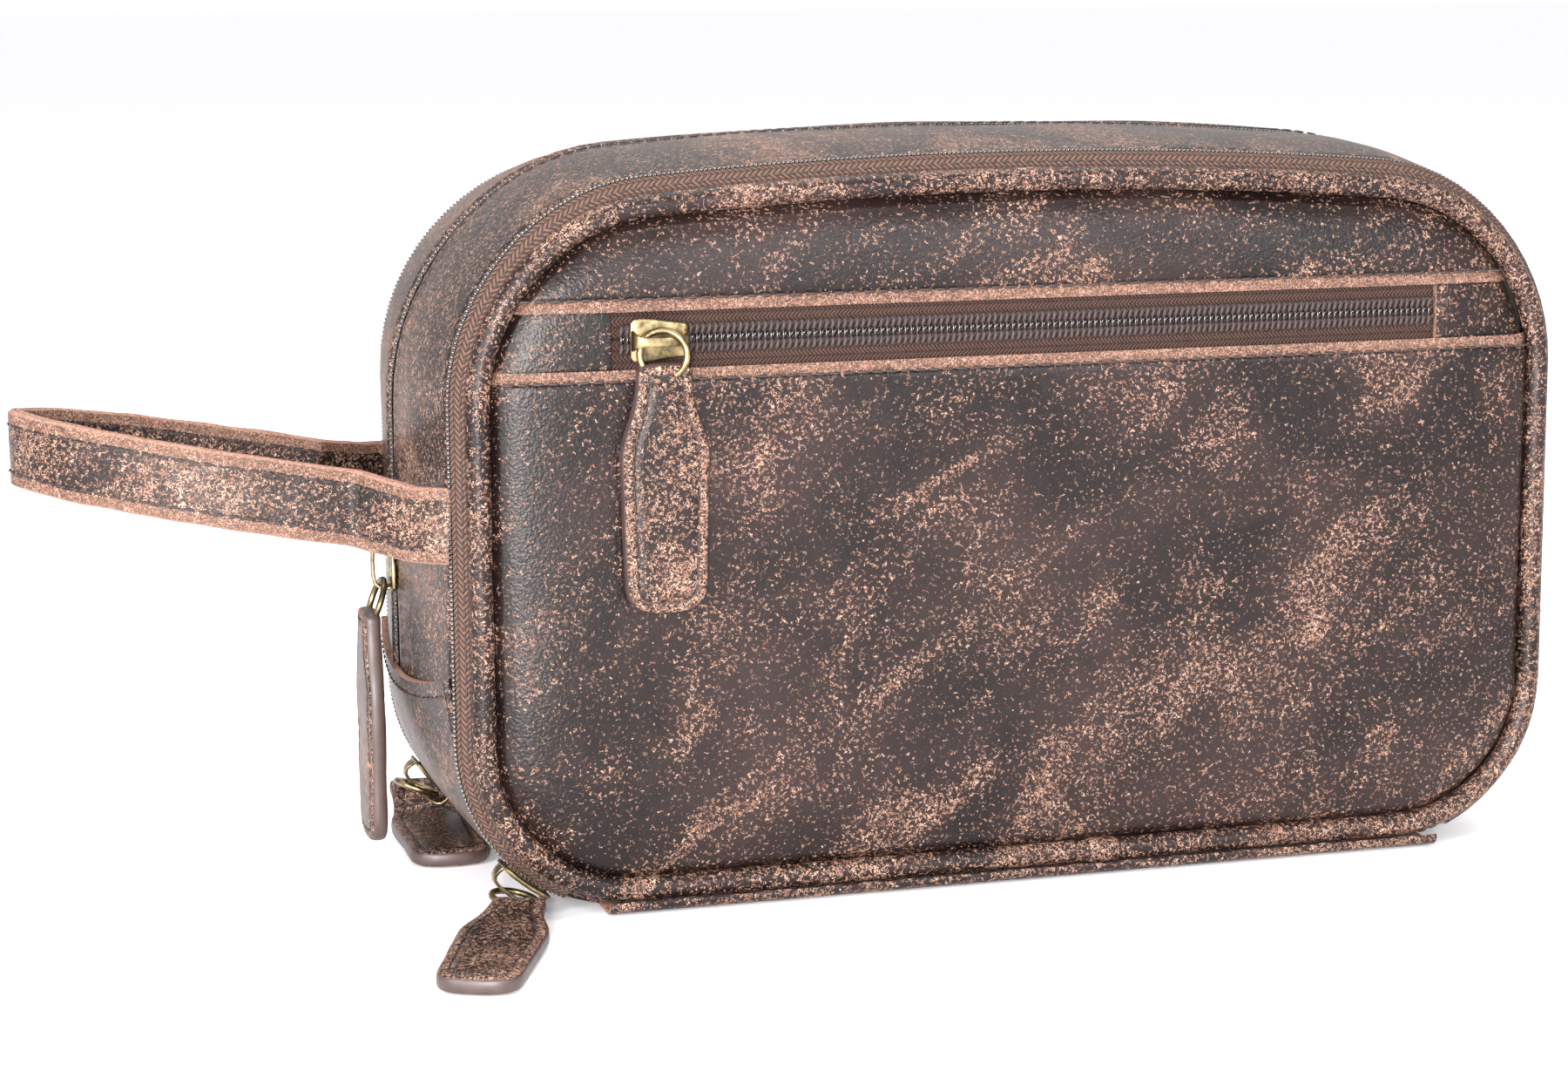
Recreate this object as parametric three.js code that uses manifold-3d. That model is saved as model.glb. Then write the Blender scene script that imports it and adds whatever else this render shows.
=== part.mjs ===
// A leather shaving kit bag that stands on its bottom: a soft main compartment with a zip over the top,
// a shallow zipped flap on the front and another on the back, each hinged at the bottom edge, a zipped
// pocket in the front flap, and a wrist strap on the left side.
// Millimetres. +X is right, -Y is the front, +Z is up. The origin is the middle of the bottom.
import * as THREE from "three";
import Module from "manifold-3d";
import { mergeVertices } from "three/addons/utils/BufferGeometryUtils.js";

const wasm = await Module();
wasm.setup();

// ---- driving dimensions ---------------------------------------------------------------------------
const width = 254; // across the two side walls
const sideHeight = 152; // height of the outline where the top corners start
const crown = 8; // how far the middle of the top stands above that
const topRadius = 42;
const bottomRadius = 38;
const zipPlane = 40; // middle plane of each flap zip, in front of and behind the bag's middle
const flapDepth = 9; // from the zip's middle plane to the flap's outer leather face
const wallSwell = 4; // how far the side walls and top belly out half way between the zips
const mainZipY = 6; // plane of the zip over the top
const seamHeight = 50; // the bottom panel comes up the side walls this far
const leather = 1.5;
const gap = 0.35; // left between pieces that touch

// ---- colours and finishes -------------------------------------------------------------------------
const finishes = {
  leather: { color: 0x50403c, roughness: 0.5, metalness: 0 },
  lining: { color: 0x3a2f2a, roughness: 0.9, metalness: 0 },
  board: { color: 0x6b5a4a, roughness: 0.9, metalness: 0 },
  tape: { color: 0x694e3e, roughness: 0.85, metalness: 0 },
  coil: { color: 0x2d2628, roughness: 0.35, metalness: 0 },
  brass: { color: 0xb08d52, roughness: 0.3, metalness: 1 },
};

const bag = new THREE.Group();

function addPiece(name, geometry, finish) {
  const mesh = new THREE.Mesh(geometry, new THREE.MeshStandardMaterial(finishes[finish]));
  mesh.name = name;
  bag.add(mesh);
  return mesh;
}

// ---- joining and cutting --------------------------------------------------------------------------
function toManifold(geometry) {
  const bare = geometry.clone();
  bare.deleteAttribute("normal");
  bare.deleteAttribute("uv");
  const merged = mergeVertices(bare, 1e-4);
  return new wasm.Manifold(
    new wasm.Mesh({
      numProp: 3,
      vertProperties: new Float32Array(merged.attributes.position.array),
      triVerts: new Uint32Array(merged.index.array),
    }),
  );
}

function toGeometry(manifold) {
  const mesh = manifold.getMesh();
  const geometry = new THREE.BufferGeometry();
  geometry.setAttribute("position", new THREE.BufferAttribute(mesh.vertProperties, 3));
  geometry.setIndex(new THREE.BufferAttribute(mesh.triVerts, 1));
  return geometry;
}

const join = (...solids) => toGeometry(solids.map(toManifold).reduce((a, b) => a.add(b)));
const common = (a, b) => toGeometry(toManifold(a).intersect(toManifold(b)));
const cut = (a, b) => toGeometry(toManifold(a).subtract(toManifold(b)));

function box(x, y, z) {
  const geometry = new THREE.BoxGeometry(x[1] - x[0], y[1] - y[0], z[1] - z[0]);
  return geometry.translate((x[0] + x[1]) / 2, (y[0] + y[1]) / 2, (z[0] + z[1]) / 2);
}

// ---- the bag's outline seen from the front --------------------------------------------------------
// inset moves the line inwards, rise bellies it outwards (not at the bottom), round rounds the top
// corners more. The upper line runs from the left side seam over the top to the right side seam.
function crowned(x, z, halfWidth) {
  const share = THREE.MathUtils.clamp((z - sideHeight / 2) / (sideHeight / 2), 0, 1);
  return z + crown * share * Math.max(0, 1 - (x / halfWidth) ** 2);
}

function cornerArc(centreX, centreZ, radius, fromDegrees, toDegrees, steps) {
  return Array.from({ length: steps + 1 }, (_, i) => {
    const angle = THREE.MathUtils.degToRad(fromDegrees + ((toDegrees - fromDegrees) * i) / steps);
    return [centreX + radius * Math.cos(angle), centreZ + radius * Math.sin(angle)];
  });
}

function upperLine({ inset = 0, rise = 0, round = 0 } = {}) {
  const half = width / 2 - inset + rise;
  const top = sideHeight - inset + rise;
  const radius = topRadius - inset + round;
  const left = cornerArc(-half + radius, top - radius, radius, 180, 90, 7);
  const middle = [-0.6, -0.25, 0, 0.25, 0.6].map((t) => [t * (half - radius), top]);
  const right = left.map(([x, z]) => [-x, z]).reverse();
  const line = [[-half, seamHeight], ...left, ...middle, ...right, [half, seamHeight]];
  return line.map(([x, z]) => new THREE.Vector2(x, crowned(x, z, half)));
}

function lowerLine({ inset = 0, rise = 0 } = {}) {
  const half = width / 2 - inset;
  const radius = bottomRadius - inset;
  const bow = (z) => rise * THREE.MathUtils.clamp((z - 8) / (seamHeight - 8), 0, 1);
  const right = cornerArc(half - radius, inset + radius, radius, 0, -90, 7);
  const left = right.map(([x, z]) => [-x, z]).reverse();
  const line = [[half, seamHeight], ...right, ...left, [-half, seamHeight]];
  return line.map(([x, z]) => new THREE.Vector2(x + Math.sign(x) * bow(z), z));
}

function closedLine(shape) {
  return [...upperLine(shape), ...lowerLine(shape).slice(1, -1)];
}

// ---- solids from grids of points ------------------------------------------------------------------
// A closed solid between an outer and an inner grid. rows run along the line, columns across it.
function solidBetween(outer, inner) {
  const rows = outer.length;
  const columns = outer[0].length;
  const points = [...outer.flat(), ...inner.flat()];
  const at = (i, j, side) => side * rows * columns + i * columns + j;
  const faces = [];
  const quad = (a, b, c, d) => faces.push(a, b, c, a, c, d);
  for (let i = 0; i < rows - 1; i++) {
    for (let j = 0; j < columns - 1; j++) {
      quad(at(i, j, 0), at(i + 1, j, 0), at(i + 1, j + 1, 0), at(i, j + 1, 0));
      quad(at(i, j + 1, 1), at(i + 1, j + 1, 1), at(i + 1, j, 1), at(i, j, 1));
    }
    quad(at(i, 0, 1), at(i + 1, 0, 1), at(i + 1, 0, 0), at(i, 0, 0));
    quad(at(i, columns - 1, 0), at(i + 1, columns - 1, 0), at(i + 1, columns - 1, 1), at(i, columns - 1, 1));
  }
  for (let j = 0; j < columns - 1; j++) {
    quad(at(0, j, 0), at(0, j + 1, 0), at(0, j + 1, 1), at(0, j, 1));
    quad(at(rows - 1, j + 1, 0), at(rows - 1, j, 0), at(rows - 1, j, 1), at(rows - 1, j + 1, 1));
  }
  const geometry = new THREE.BufferGeometry().setFromPoints(points);
  geometry.setIndex(faces);
  return facingOut(geometry);
}

function facingOut(geometry) {
  const position = geometry.attributes.position;
  const index = geometry.index.array;
  const corner = [0, 1, 2].map(() => new THREE.Vector3());
  let volume = 0;
  for (let i = 0; i < index.length; i += 3) {
    corner.forEach((c, k) => c.fromBufferAttribute(position, index[i + k]));
    volume += corner[0].dot(corner[1].clone().cross(corner[2]));
  }
  if (volume < 0) {
    for (let i = 0; i < index.length; i += 3) {
      [index[i], index[i + 1]] = [index[i + 1], index[i]];
    }
  }
  return geometry;
}

// A skin that follows the outline. Each station is one place across the bag: {y, inset, rise, round}.
function skin(line, stations, thickness) {
  const grid = (extra) => {
    const lines = stations.map((s) => line({ ...s, inset: (s.inset ?? 0) + extra }));
    return lines[0].map((_, i) => lines.map((points, j) => {
      return new THREE.Vector3(points[i].x, stations[j].y, points[i].y);
    }));
  };
  return solidBetween(grid(0), grid(thickness));
}

// A flat plate in the XZ plane with the closed outline, between two depths.
function plate(inset, y) {
  const shape = new THREE.Shape(closedLine({ inset }));
  const depth = Math.abs(y[1] - y[0]);
  const geometry = new THREE.ExtrudeGeometry(shape, { depth, bevelEnabled: false });
  return geometry.rotateX(Math.PI / 2).translate(0, Math.max(...y), 0);
}

// ---- the flap zips round the front and the back ---------------------------------------------------
// The zip stops short of the bottom, where the leather hinge is, and its rows leave room for the
// slider near the bottom left corner.
const zipEndAngle = 64; // degrees down the bottom corner arc, from the side wall
const sliderAngle = { front: 52, back: 42 }; // where each slider stands on the left arc
const sliderHalfLength = 6.2;
const cornerX = -width / 2 + bottomRadius;
const cornerZ = bottomRadius;
const sliderHalfAngle = THREE.MathUtils.radToDeg((sliderHalfLength + 1) / bottomRadius);

const zipLine = (where) => (shape) => {
  const inset = shape.inset ?? 0;
  const radius = bottomRadius - inset;
  const lowest = 180 + sliderAngle[where] - sliderHalfAngle;
  const leftArc = cornerArc(cornerX, cornerZ, radius, lowest, 180, 5);
  const rightArc = cornerArc(-cornerX, cornerZ, radius, 0, -zipEndAngle, 6);
  const points = ([x, z]) => new THREE.Vector2(x, z);
  return [...leftArc.map(points), ...upperLine({ inset }).slice(1, -1), ...rightArc.map(points)];
};

// A band of the zip, from one depth to another beyond the zip's middle plane (negative is body side).
function zipBand(where, side, inset, thickness, depths) {
  return skin(zipLine(where), depths.map((d) => ({ y: side * (zipPlane + d), inset })), thickness);
}

function addFlapZip(where, side) {
  addPiece(`${where}_flap_tape`, zipBand(where, side, 0.9, 0.7, [2.3, 5]), "tape");
  addPiece(`${where}_flap_coil`, zipBand(where, side, 1.6, 1.6, [0.7, 2]), "coil");
  addPiece(`${where}_body_tape`, zipBand(where, side, 1.9, 0.7, [-6, -2.3]), "tape");
  addPiece(`${where}_body_coil`, zipBand(where, side, 1.6, 1.6, [-2, -0.7]), "coil");
}

// ---- leather piping round each flap ---------------------------------------------------------------
const pipingInset = 4.7;
const pipingRadius = 2.5;
const pipingDepth = 5.6;

function addPiping(where, side) {
  const sides = 8;
  const centre = closedLine({ inset: pipingInset });
  const wrap = (i) => centre[(i + centre.length) % centre.length];
  const sections = centre.map((point, i) => {
    const along = wrap(i + 1).clone().sub(wrap(i - 1)).normalize();
    const out = new THREE.Vector2(along.y, -along.x);
    return Array.from({ length: sides + 1 }, (_, k) => {
      const angle = (2 * Math.PI * (k % sides)) / sides;
      const place = point.clone().addScaledVector(out, pipingRadius * Math.cos(angle));
      const depth = zipPlane + pipingDepth + pipingRadius * Math.sin(angle);
      return new THREE.Vector3(place.x, side * depth, place.y);
    });
  });
  addPiece(`${where}_piping`, tube(sections, sides), "leather");
}

// A closed loop of ring-shaped sections.
function tube(sections, sides) {
  const points = sections.map((section) => section.slice(0, sides)).flat();
  const at = (i, k) => (i % sections.length) * sides + (k % sides);
  const faces = [];
  for (let i = 0; i < sections.length; i++) {
    for (let k = 0; k < sides; k++) {
      faces.push(at(i, k), at(i + 1, k), at(i + 1, k + 1), at(i, k), at(i + 1, k + 1), at(i, k + 1));
    }
  }
  const geometry = new THREE.BufferGeometry().setFromPoints(points);
  geometry.setIndex(faces);
  return facingOut(geometry);
}

// ---- front flap -----------------------------------------------------------------------------------
const panelInset = 7.8;
const face = zipPlane + flapDepth; // distance of each flap's outer face from the bag's middle
const lipTop = 129; // raw leather edges above and below the pocket zip
const lipBottom = 117;
const pocketZ = (lipTop + lipBottom) / 2;
const windowLeft = -94;
const windowRight = 95;
const across = [-width, width];

const panelBlank = plate(panelInset, [-face, -face + leather]);
addPiece("front_upper_panel", common(panelBlank, box(across, [-60, -40], [lipTop, 200])), "leather");
addPiece("front_lower_panel", common(panelBlank, box(across, [-60, -40], [-10, lipBottom])), "leather");

const tabBlank = plate(panelInset, [-face + 0.6, -face + 0.6 + leather]);
const tabHeight = [lipBottom + gap, lipTop - gap];
const tabs = { left: [-width, windowLeft], right: [windowRight, width] };
for (const [name, span] of Object.entries(tabs)) {
  addPiece(`pocket_tab_${name}`, common(tabBlank, box(span, [-60, -40], tabHeight)), "leather");
}

const pocketTapeDepth = [-face + 3, -face + 3.8];
const pocketCoilDepth = [-face + 0.4, -face + 2.7];
const rows = { upper: 1, lower: -1 };
for (const [name, sign] of Object.entries(rows)) {
  const spanZ = (near, far) => [pocketZ + sign * near, pocketZ + sign * far].sort((a, b) => a - b);
  addPiece(`pocket_tape_${name}`, box([-103, 104], pocketTapeDepth, spanZ(0.9, 11)), "tape");
  addPiece(`pocket_coil_${name}`, box([-92, 94], pocketCoilDepth, spanZ(0.6, 3)), "coil");
}
addPiece("pocket_bag", box([-100, 100], [-face + 5.9, -face + 6.5], [45, 143]), "lining");
addPiece("front_stiffener", plate(8.4, [-face + 6.9, -face + 7.8]), "board");
addPiece("front_flap_lining", plate(8.4, [-face + 8.2, -face + 8.7]), "lining");
addPiping("front", -1);
addFlapZip("front", -1);

// ---- back flap ------------------------------------------------------------------------------------
addPiece("back_panel", plate(panelInset, [face - leather, face]), "leather");
addPiece("back_stiffener", plate(8.4, [face - 3, face - leather - gap]), "board");
addPiece("back_flap_lining", plate(8.4, [face - 8.7, face - 8.2]), "lining");
addPiping("back", 1);
addFlapZip("back", 1);

// ---- leather hinges between the flaps and the bottom ----------------------------------------------
const hingePatch = [-96, 98];
addPiece("front_hinge_patch", box(hingePatch, [-face + 0.6, -34.8], [0.3, 1.4]), "leather");
addPiece("back_hinge_patch", box(hingePatch, [34.8, face - 0.6], [0.3, 1.4]), "leather");

// ---- gussets, bottom, walls and lining ------------------------------------------------------------
// Half way between the flap zips the walls belly out and the top corners are rounder.
function belly(y) {
  const share = 1 - (y / zipPlane) ** 2;
  return { y, rise: wallSwell * share, round: 8 * share };
}
const gussetEdge = zipPlane - 2.3;
const zipHalf = 0.6;
addPiece("front_gusset", skin(upperLine, [-gussetEdge, -26, -10, mainZipY - 2.4].map(belly), leather), "leather");
addPiece("rear_gusset", skin(upperLine, [mainZipY + 0.9, 22, gussetEdge].map(belly), leather), "leather");

const bottomStations = [-34.4, -12, 12, 34.4].map((y) => ({ y, rise: belly(y).rise }));
const bottomBlank = skin(lowerLine, bottomStations, leather);
addPiece("bottom_panel", cut(bottomBlank, box(across, [-60, 60], [seamHeight - gap, 90])), "leather");

function mainBand(inset, thickness, from, to) {
  const stations = [from, to].map((d) => ({ ...belly(mainZipY + d), inset }));
  const band = skin(upperLine, stations, thickness);
  return cut(band, box(across, [-60, 60], [0, seamHeight + gap]));
}
addPiece("main_front_tape", mainBand(1.9, 0.7, -9, -2.2), "tape");
addPiece("main_front_coil", mainBand(1.9, 1.6, -2, -zipHalf), "coil");
addPiece("main_rear_coil", mainBand(1.9, 1.6, zipHalf, 2), "coil");
addPiece("main_rear_tape", mainBand(1.9, 0.7, 2.2, 9), "tape");

const dividerPlane = 26;
const divider = (side) => plate(5.2, [side * dividerPlane, side * (dividerPlane - 1.2)]);
addPiece("front_divider", divider(-1), "lining");
addPiece("rear_divider", divider(1), "lining");

const liningStations = [-24, 24].map((y) => ({ y, inset: 2.2 }));
const liningBlank = skin(lowerLine, liningStations, 0.8);
addPiece("main_lining", cut(liningBlank, box(across, [-60, 60], [seamHeight - gap, 90])), "lining");

// ---- wrist strap ----------------------------------------------------------------------------------
// A flat loop that stands out from the left wall and rises a little towards its tip.
const strapWidth = 16;
const strapThickness = 3.2;
const strapRootZ = 85;
const strapRootX = -width / 2 - wallSwell - 1;
const strapTipX = -212;
const strapHalfSpread = 27;
const strapRise = 15;

function strapGeometry() {
  const steps = 28;
  const route = Array.from({ length: steps + 1 }, (_, i) => {
    const angle = Math.PI * (i / steps - 0.5);
    const reach = Math.cos(angle);
    const x = strapRootX + (strapTipX - strapRootX) * Math.pow(reach, 0.55);
    const y = strapHalfSpread * Math.sign(angle) * Math.pow(Math.abs(Math.sin(angle)), 1.35);
    return new THREE.Vector3(x, y, strapRootZ + strapRise * ((strapRootX - x) / (strapRootX - strapTipX)));
  });
  const side = (offset, height) => (point, i) => {
    const ahead = route[Math.min(i + 1, steps)];
    const behind = route[Math.max(i - 1, 0)];
    const along = ahead.clone().sub(behind).setZ(0).normalize();
    const out = new THREE.Vector3(along.y, -along.x, 0);
    return point.clone().addScaledVector(out, offset).add(new THREE.Vector3(0, 0, height));
  };
  const grid = (offset) => {
    const low = route.map(side(offset, -strapWidth / 2));
    const high = route.map(side(offset, strapWidth / 2));
    return low.map((point, i) => [point, high[i]]);
  };
  return solidBetween(grid(-strapThickness / 2), grid(strapThickness / 2));
}

// Each end is rounded about the line that the strap turns on, so it clears the wall as it turns.
const strapHingeX = strapRootX - strapWidth / 2;
const strapEnds = new THREE.CylinderGeometry(strapWidth / 2, strapWidth / 2, 90, 24);
strapEnds.translate(strapHingeX, 0, strapRootZ);
const strapOutside = box([-width, strapHingeX], [-60, 60], [strapRootZ - 40, strapRootZ + 40]);
const strapRoom = join(strapEnds, strapOutside);
addPiece("wrist_strap", common(strapGeometry(), strapRoom), "leather");

// ---- sliders --------------------------------------------------------------------------------------
// A slider is two plates joined by a web that runs between the two rows of the zip, with a crown on
// the outer plate. place(along, out, across) puts a point of it on its zip.
const plateHalfWidth = 4.5;
const plateTop = 1.4;
const plateUnder = 0.4;
const webHalf = 0.3;
const barHeight = 3.1; // middle of the crown's bar above the plate
const barHalf = 0.75;
const crownHalf = 6;
const tunnelHalf = 5.2;

function block(place, along, out, acrossSpan, steps) {
  const grid = (height) => Array.from({ length: steps + 1 }, (_, i) => {
    const a = along[0] + ((along[1] - along[0]) * i) / steps;
    return acrossSpan.map((c) => place(a, height, c));
  });
  return solidBetween(grid(out[0]), grid(out[1]));
}

function sliderGeometry(place, { innerTop, innerHalf, steps }) {
  const length = [-sliderHalfLength, sliderHalfLength];
  const outer = block(place, length, [plateUnder, plateTop], [-plateHalfWidth, plateHalfWidth], steps);
  const web = block(place, [-5, 5], [innerTop - 0.5, plateUnder + 0.5], [-webHalf, webHalf], steps);
  const inner = block(place, length, [innerTop - 1.1, innerTop], [-innerHalf, innerHalf], steps);
  const top = plateTop + barHeight + barHalf;
  const post = [plateTop - 0.4, top];
  const left = block(place, [-crownHalf, -tunnelHalf], post, [-barHalf, barHalf], 1);
  const right = block(place, [tunnelHalf, crownHalf], post, [-barHalf, barHalf], 1);
  const bar = block(place, [-crownHalf, crownHalf], [top - 2 * barHalf, top], [-barHalf, barHalf], steps);
  return join(outer, web, inner, left, right, bar);
}

// ---- rings and leather pulls ----------------------------------------------------------------------
// Both are made hanging down -Z with the bar along X and outwards along -Y, then turned into place.
const ringRadius = 5;
const wire = 0.7;
const ringDrop = 2.7; // ring's middle below the bar
const ringTilt = THREE.MathUtils.degToRad(26);
const ringReach = ringDrop + ringRadius; // from the bar to the bottom of the ring
const pullGap = 1.2; // leather starts this far below the middle of the ring's bottom wire
const pullLength = 48;
const pullThickness = 3.6;

// A ring round the bar passes under it at one end and over it at the other.
const tiltedBar = (along, towards) =>
  along.clone().multiplyScalar(Math.cos(ringTilt)).addScaledVector(towards, Math.sin(ringTilt));
const ringGeometry = () => new THREE.TorusGeometry(ringRadius, wire, 6, 20).rotateX(Math.PI / 2);

function pullGeometry() {
  const neck = 6;
  const wide = 9;
  const shape = new THREE.Shape();
  shape.moveTo(-neck, 0);
  shape.bezierCurveTo(-neck, -8, -wide, -9, -wide, -17);
  shape.lineTo(-wide + 0.8, -pullLength + 6);
  shape.quadraticCurveTo(-wide + 1, -pullLength, -wide + 7, -pullLength);
  shape.lineTo(wide - 7, -pullLength);
  shape.quadraticCurveTo(wide - 1, -pullLength, wide - 0.8, -pullLength + 6);
  shape.lineTo(wide, -17);
  shape.bezierCurveTo(wide, -9, neck, -8, neck, 0);
  shape.closePath();
  const options = { depth: pullThickness, bevelEnabled: false, curveSegments: 6 };
  const geometry = new THREE.ExtrudeGeometry(shape, options);
  return geometry.rotateX(Math.PI / 2).translate(0, pullThickness / 2, -pullGap);
}

// Turns a piece so that its own +X, +Y and +Z become the given directions, and moves it.
function stand(mesh, origin, xAxis, zAxis) {
  const z = zAxis.clone().normalize();
  const x = xAxis.clone().addScaledVector(z, -xAxis.dot(z)).normalize();
  const matrix = new THREE.Matrix4().makeBasis(x, z.clone().cross(x), z);
  mesh.applyMatrix4(matrix.setPosition(origin));
}

const v = (x, y, z) => new THREE.Vector3(x, y, z);

// Front pocket: the bar lies along the zip and the pull hangs straight down against the panel.
const pocketSliderX = -84;
const pocketPlateY = -face - 0.2 + plateUnder;
const onPocket = (along, out, acrossZip) =>
  v(pocketSliderX + along, pocketPlateY - out, pocketZ + acrossZip);
addPiece("pocket_slider", sliderGeometry(onPocket, { innerTop: -4.1, innerHalf: 4.5, steps: 1 }), "brass");
const pocketBar = onPocket(0, plateTop + barHeight, 0);
stand(
  addPiece("pocket_ring", ringGeometry(), "brass"),
  pocketBar.clone().add(v(0, 0, -ringDrop)),
  tiltedBar(v(1, 0, 0), v(0, -1, 0)),
  v(0, 0, 1),
);
stand(
  addPiece("pocket_pull", pullGeometry(), "leather"),
  pocketBar.clone().add(v(0, 0, -ringReach)),
  v(1, 0, 0),
  v(0, 0, 1),
);

// Main zip: the bar is upright on the left wall, so the ring hangs below it round the lower post.
const mainSliderZ = 70;
const mainWallX = -width / 2 - belly(mainZipY).rise;
const onMain = (along, out, acrossZip) => v(mainWallX - out, mainZipY + acrossZip, mainSliderZ + along);
addPiece("main_slider", sliderGeometry(onMain, { innerTop: -4.1, innerHalf: 4.5, steps: 1 }), "brass");
const mainRingTop = onMain(-tunnelHalf + 1.2, plateTop + 1.25, 0);
const mainRingLean = THREE.MathUtils.degToRad(20);
const mainRingDown = v(-Math.sin(mainRingLean), 0, -Math.cos(mainRingLean));
stand(
  addPiece("main_ring", ringGeometry(), "brass"),
  mainRingTop.clone().addScaledVector(mainRingDown, ringRadius),
  v(0, 1, 0),
  mainRingDown.clone().negate(),
);
stand(
  addPiece("main_pull", pullGeometry(), "leather"),
  mainRingTop.clone().addScaledVector(mainRingDown, 2 * ringRadius),
  v(0, 1, 0),
  v(0, 0, 1),
);

// Flap zips: each slider stands on the bottom left corner, and its pull lies on the floor.
function addFlapPull(where, side, ringDirection, pullStart, pullDirection) {
  const sliderTurn = THREE.MathUtils.degToRad(sliderAngle[where]);
  const tangent = v(Math.sin(sliderTurn), 0, -Math.cos(sliderTurn));
  const place = (along, out, acrossZip) => {
    const turn = sliderTurn + along / bottomRadius;
    const radius = bottomRadius + out;
    const y = side * (zipPlane + acrossZip);
    return v(cornerX - radius * Math.cos(turn), y, cornerZ - radius * Math.sin(turn));
  };
  const options = { innerTop: -3.6, innerHalf: 2.6, steps: 4 };
  addPiece(`${where}_slider`, sliderGeometry(place, options), "brass");
  const bar = place(0, plateTop + barHeight, 0);
  const down = ringDirection.clone().addScaledVector(tangent, -ringDirection.dot(tangent)).normalize();
  const inward = v(Math.cos(sliderTurn), 0, Math.sin(sliderTurn));
  stand(
    addPiece(`${where}_ring`, ringGeometry(), "brass"),
    bar.clone().addScaledVector(down, ringDrop),
    tiltedBar(tangent, inward),
    down.clone().negate(),
  );
  stand(
    addPiece(`${where}_pull`, pullGeometry(), "leather"),
    pullStart,
    v(1, 0, 0),
    pullDirection.clone().negate(),
  );
}
addFlapPull("front", -1, v(-0.15, -1, 0), v(-116.5, -50.3, 3.2), v(-0.37, -0.93, -0.02));
addFlapPull("back", 1, v(0.1, 0.9, -0.22), v(-118.5, 51, 2.1), v(-0.03, -1, 0));

export default bag;
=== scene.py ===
"""The looks of a worn leather shaving kit bag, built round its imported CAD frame.

Metres, +X right, -Y front, +Z up. The dimensions repeat those of the CAD source.
"""

import math
from contextlib import contextmanager

import bmesh
import bpy
import numpy as np
from mathutils import Matrix, Vector, noise


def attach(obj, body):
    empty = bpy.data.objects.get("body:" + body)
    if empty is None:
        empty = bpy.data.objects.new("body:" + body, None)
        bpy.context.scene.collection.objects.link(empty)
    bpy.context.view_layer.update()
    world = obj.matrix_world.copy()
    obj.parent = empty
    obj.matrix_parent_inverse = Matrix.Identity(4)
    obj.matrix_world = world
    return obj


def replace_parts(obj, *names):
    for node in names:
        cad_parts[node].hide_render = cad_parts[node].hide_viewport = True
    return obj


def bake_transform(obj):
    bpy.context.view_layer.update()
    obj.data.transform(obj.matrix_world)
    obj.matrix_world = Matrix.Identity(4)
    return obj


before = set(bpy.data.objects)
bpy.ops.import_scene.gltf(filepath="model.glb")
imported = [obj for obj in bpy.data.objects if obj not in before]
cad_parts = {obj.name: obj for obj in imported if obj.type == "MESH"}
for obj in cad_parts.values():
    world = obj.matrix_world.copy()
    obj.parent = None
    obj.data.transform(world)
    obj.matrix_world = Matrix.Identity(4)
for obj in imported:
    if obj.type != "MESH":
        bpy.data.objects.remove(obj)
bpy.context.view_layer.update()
noise.seed_set(1)  # noise_vector draws its offsets from this

# ---- dimensions --------------------------------------------------------------------------------
MM = 0.001
WIDTH = 254 * MM
SIDE_HEIGHT = 152 * MM
CROWN = 8 * MM
TOP_RADIUS = 42 * MM
BOTTOM_RADIUS = 38 * MM
ZIP_PLANE = 40 * MM
FACE = 49 * MM
SWELL = 4 * MM
EXTRA_ROUND = 8 * MM
MAIN_ZIP_Y = 6 * MM
SEAM_Z = 50 * MM
LEATHER = 1.5 * MM
POCKET_Z = 123 * MM
LIP_TOP = 129 * MM
LIP_BOTTOM = 117 * MM
WINDOW = (-94 * MM, 95 * MM)
PIPING_INSET = 5.3 * MM
PIPING_RADIUS = 2.55 * MM
PIPING_Y = ZIP_PLANE + 5.6 * MM
ZIP_END = 66  # degrees down the bottom corners where the flap zips end
CORNER_X = -WIDTH / 2 + BOTTOM_RADIUS
CORNER_Z = BOTTOM_RADIUS
SLIDER_ANGLE = {"front": 52, "back": 42}
MIDDLE = Vector((0, 0, 80 * MM))
SIDES = {"front": -1, "back": 1}
FLAP = {"front": "front_flap", "back": "back_flap"}
HALF = {"front": "bag_front", "back": "bag_rear"}


# ---- materials ---------------------------------------------------------------------------------
def srgb(red, green, blue):
    """A linear colour from screen values between 0 and 255."""
    def linear(value):
        value /= 255
        return value / 12.92 if value <= 0.04045 else ((value + 0.055) / 1.055) ** 2.4

    return (linear(red), linear(green), linear(blue), 1)


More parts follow.
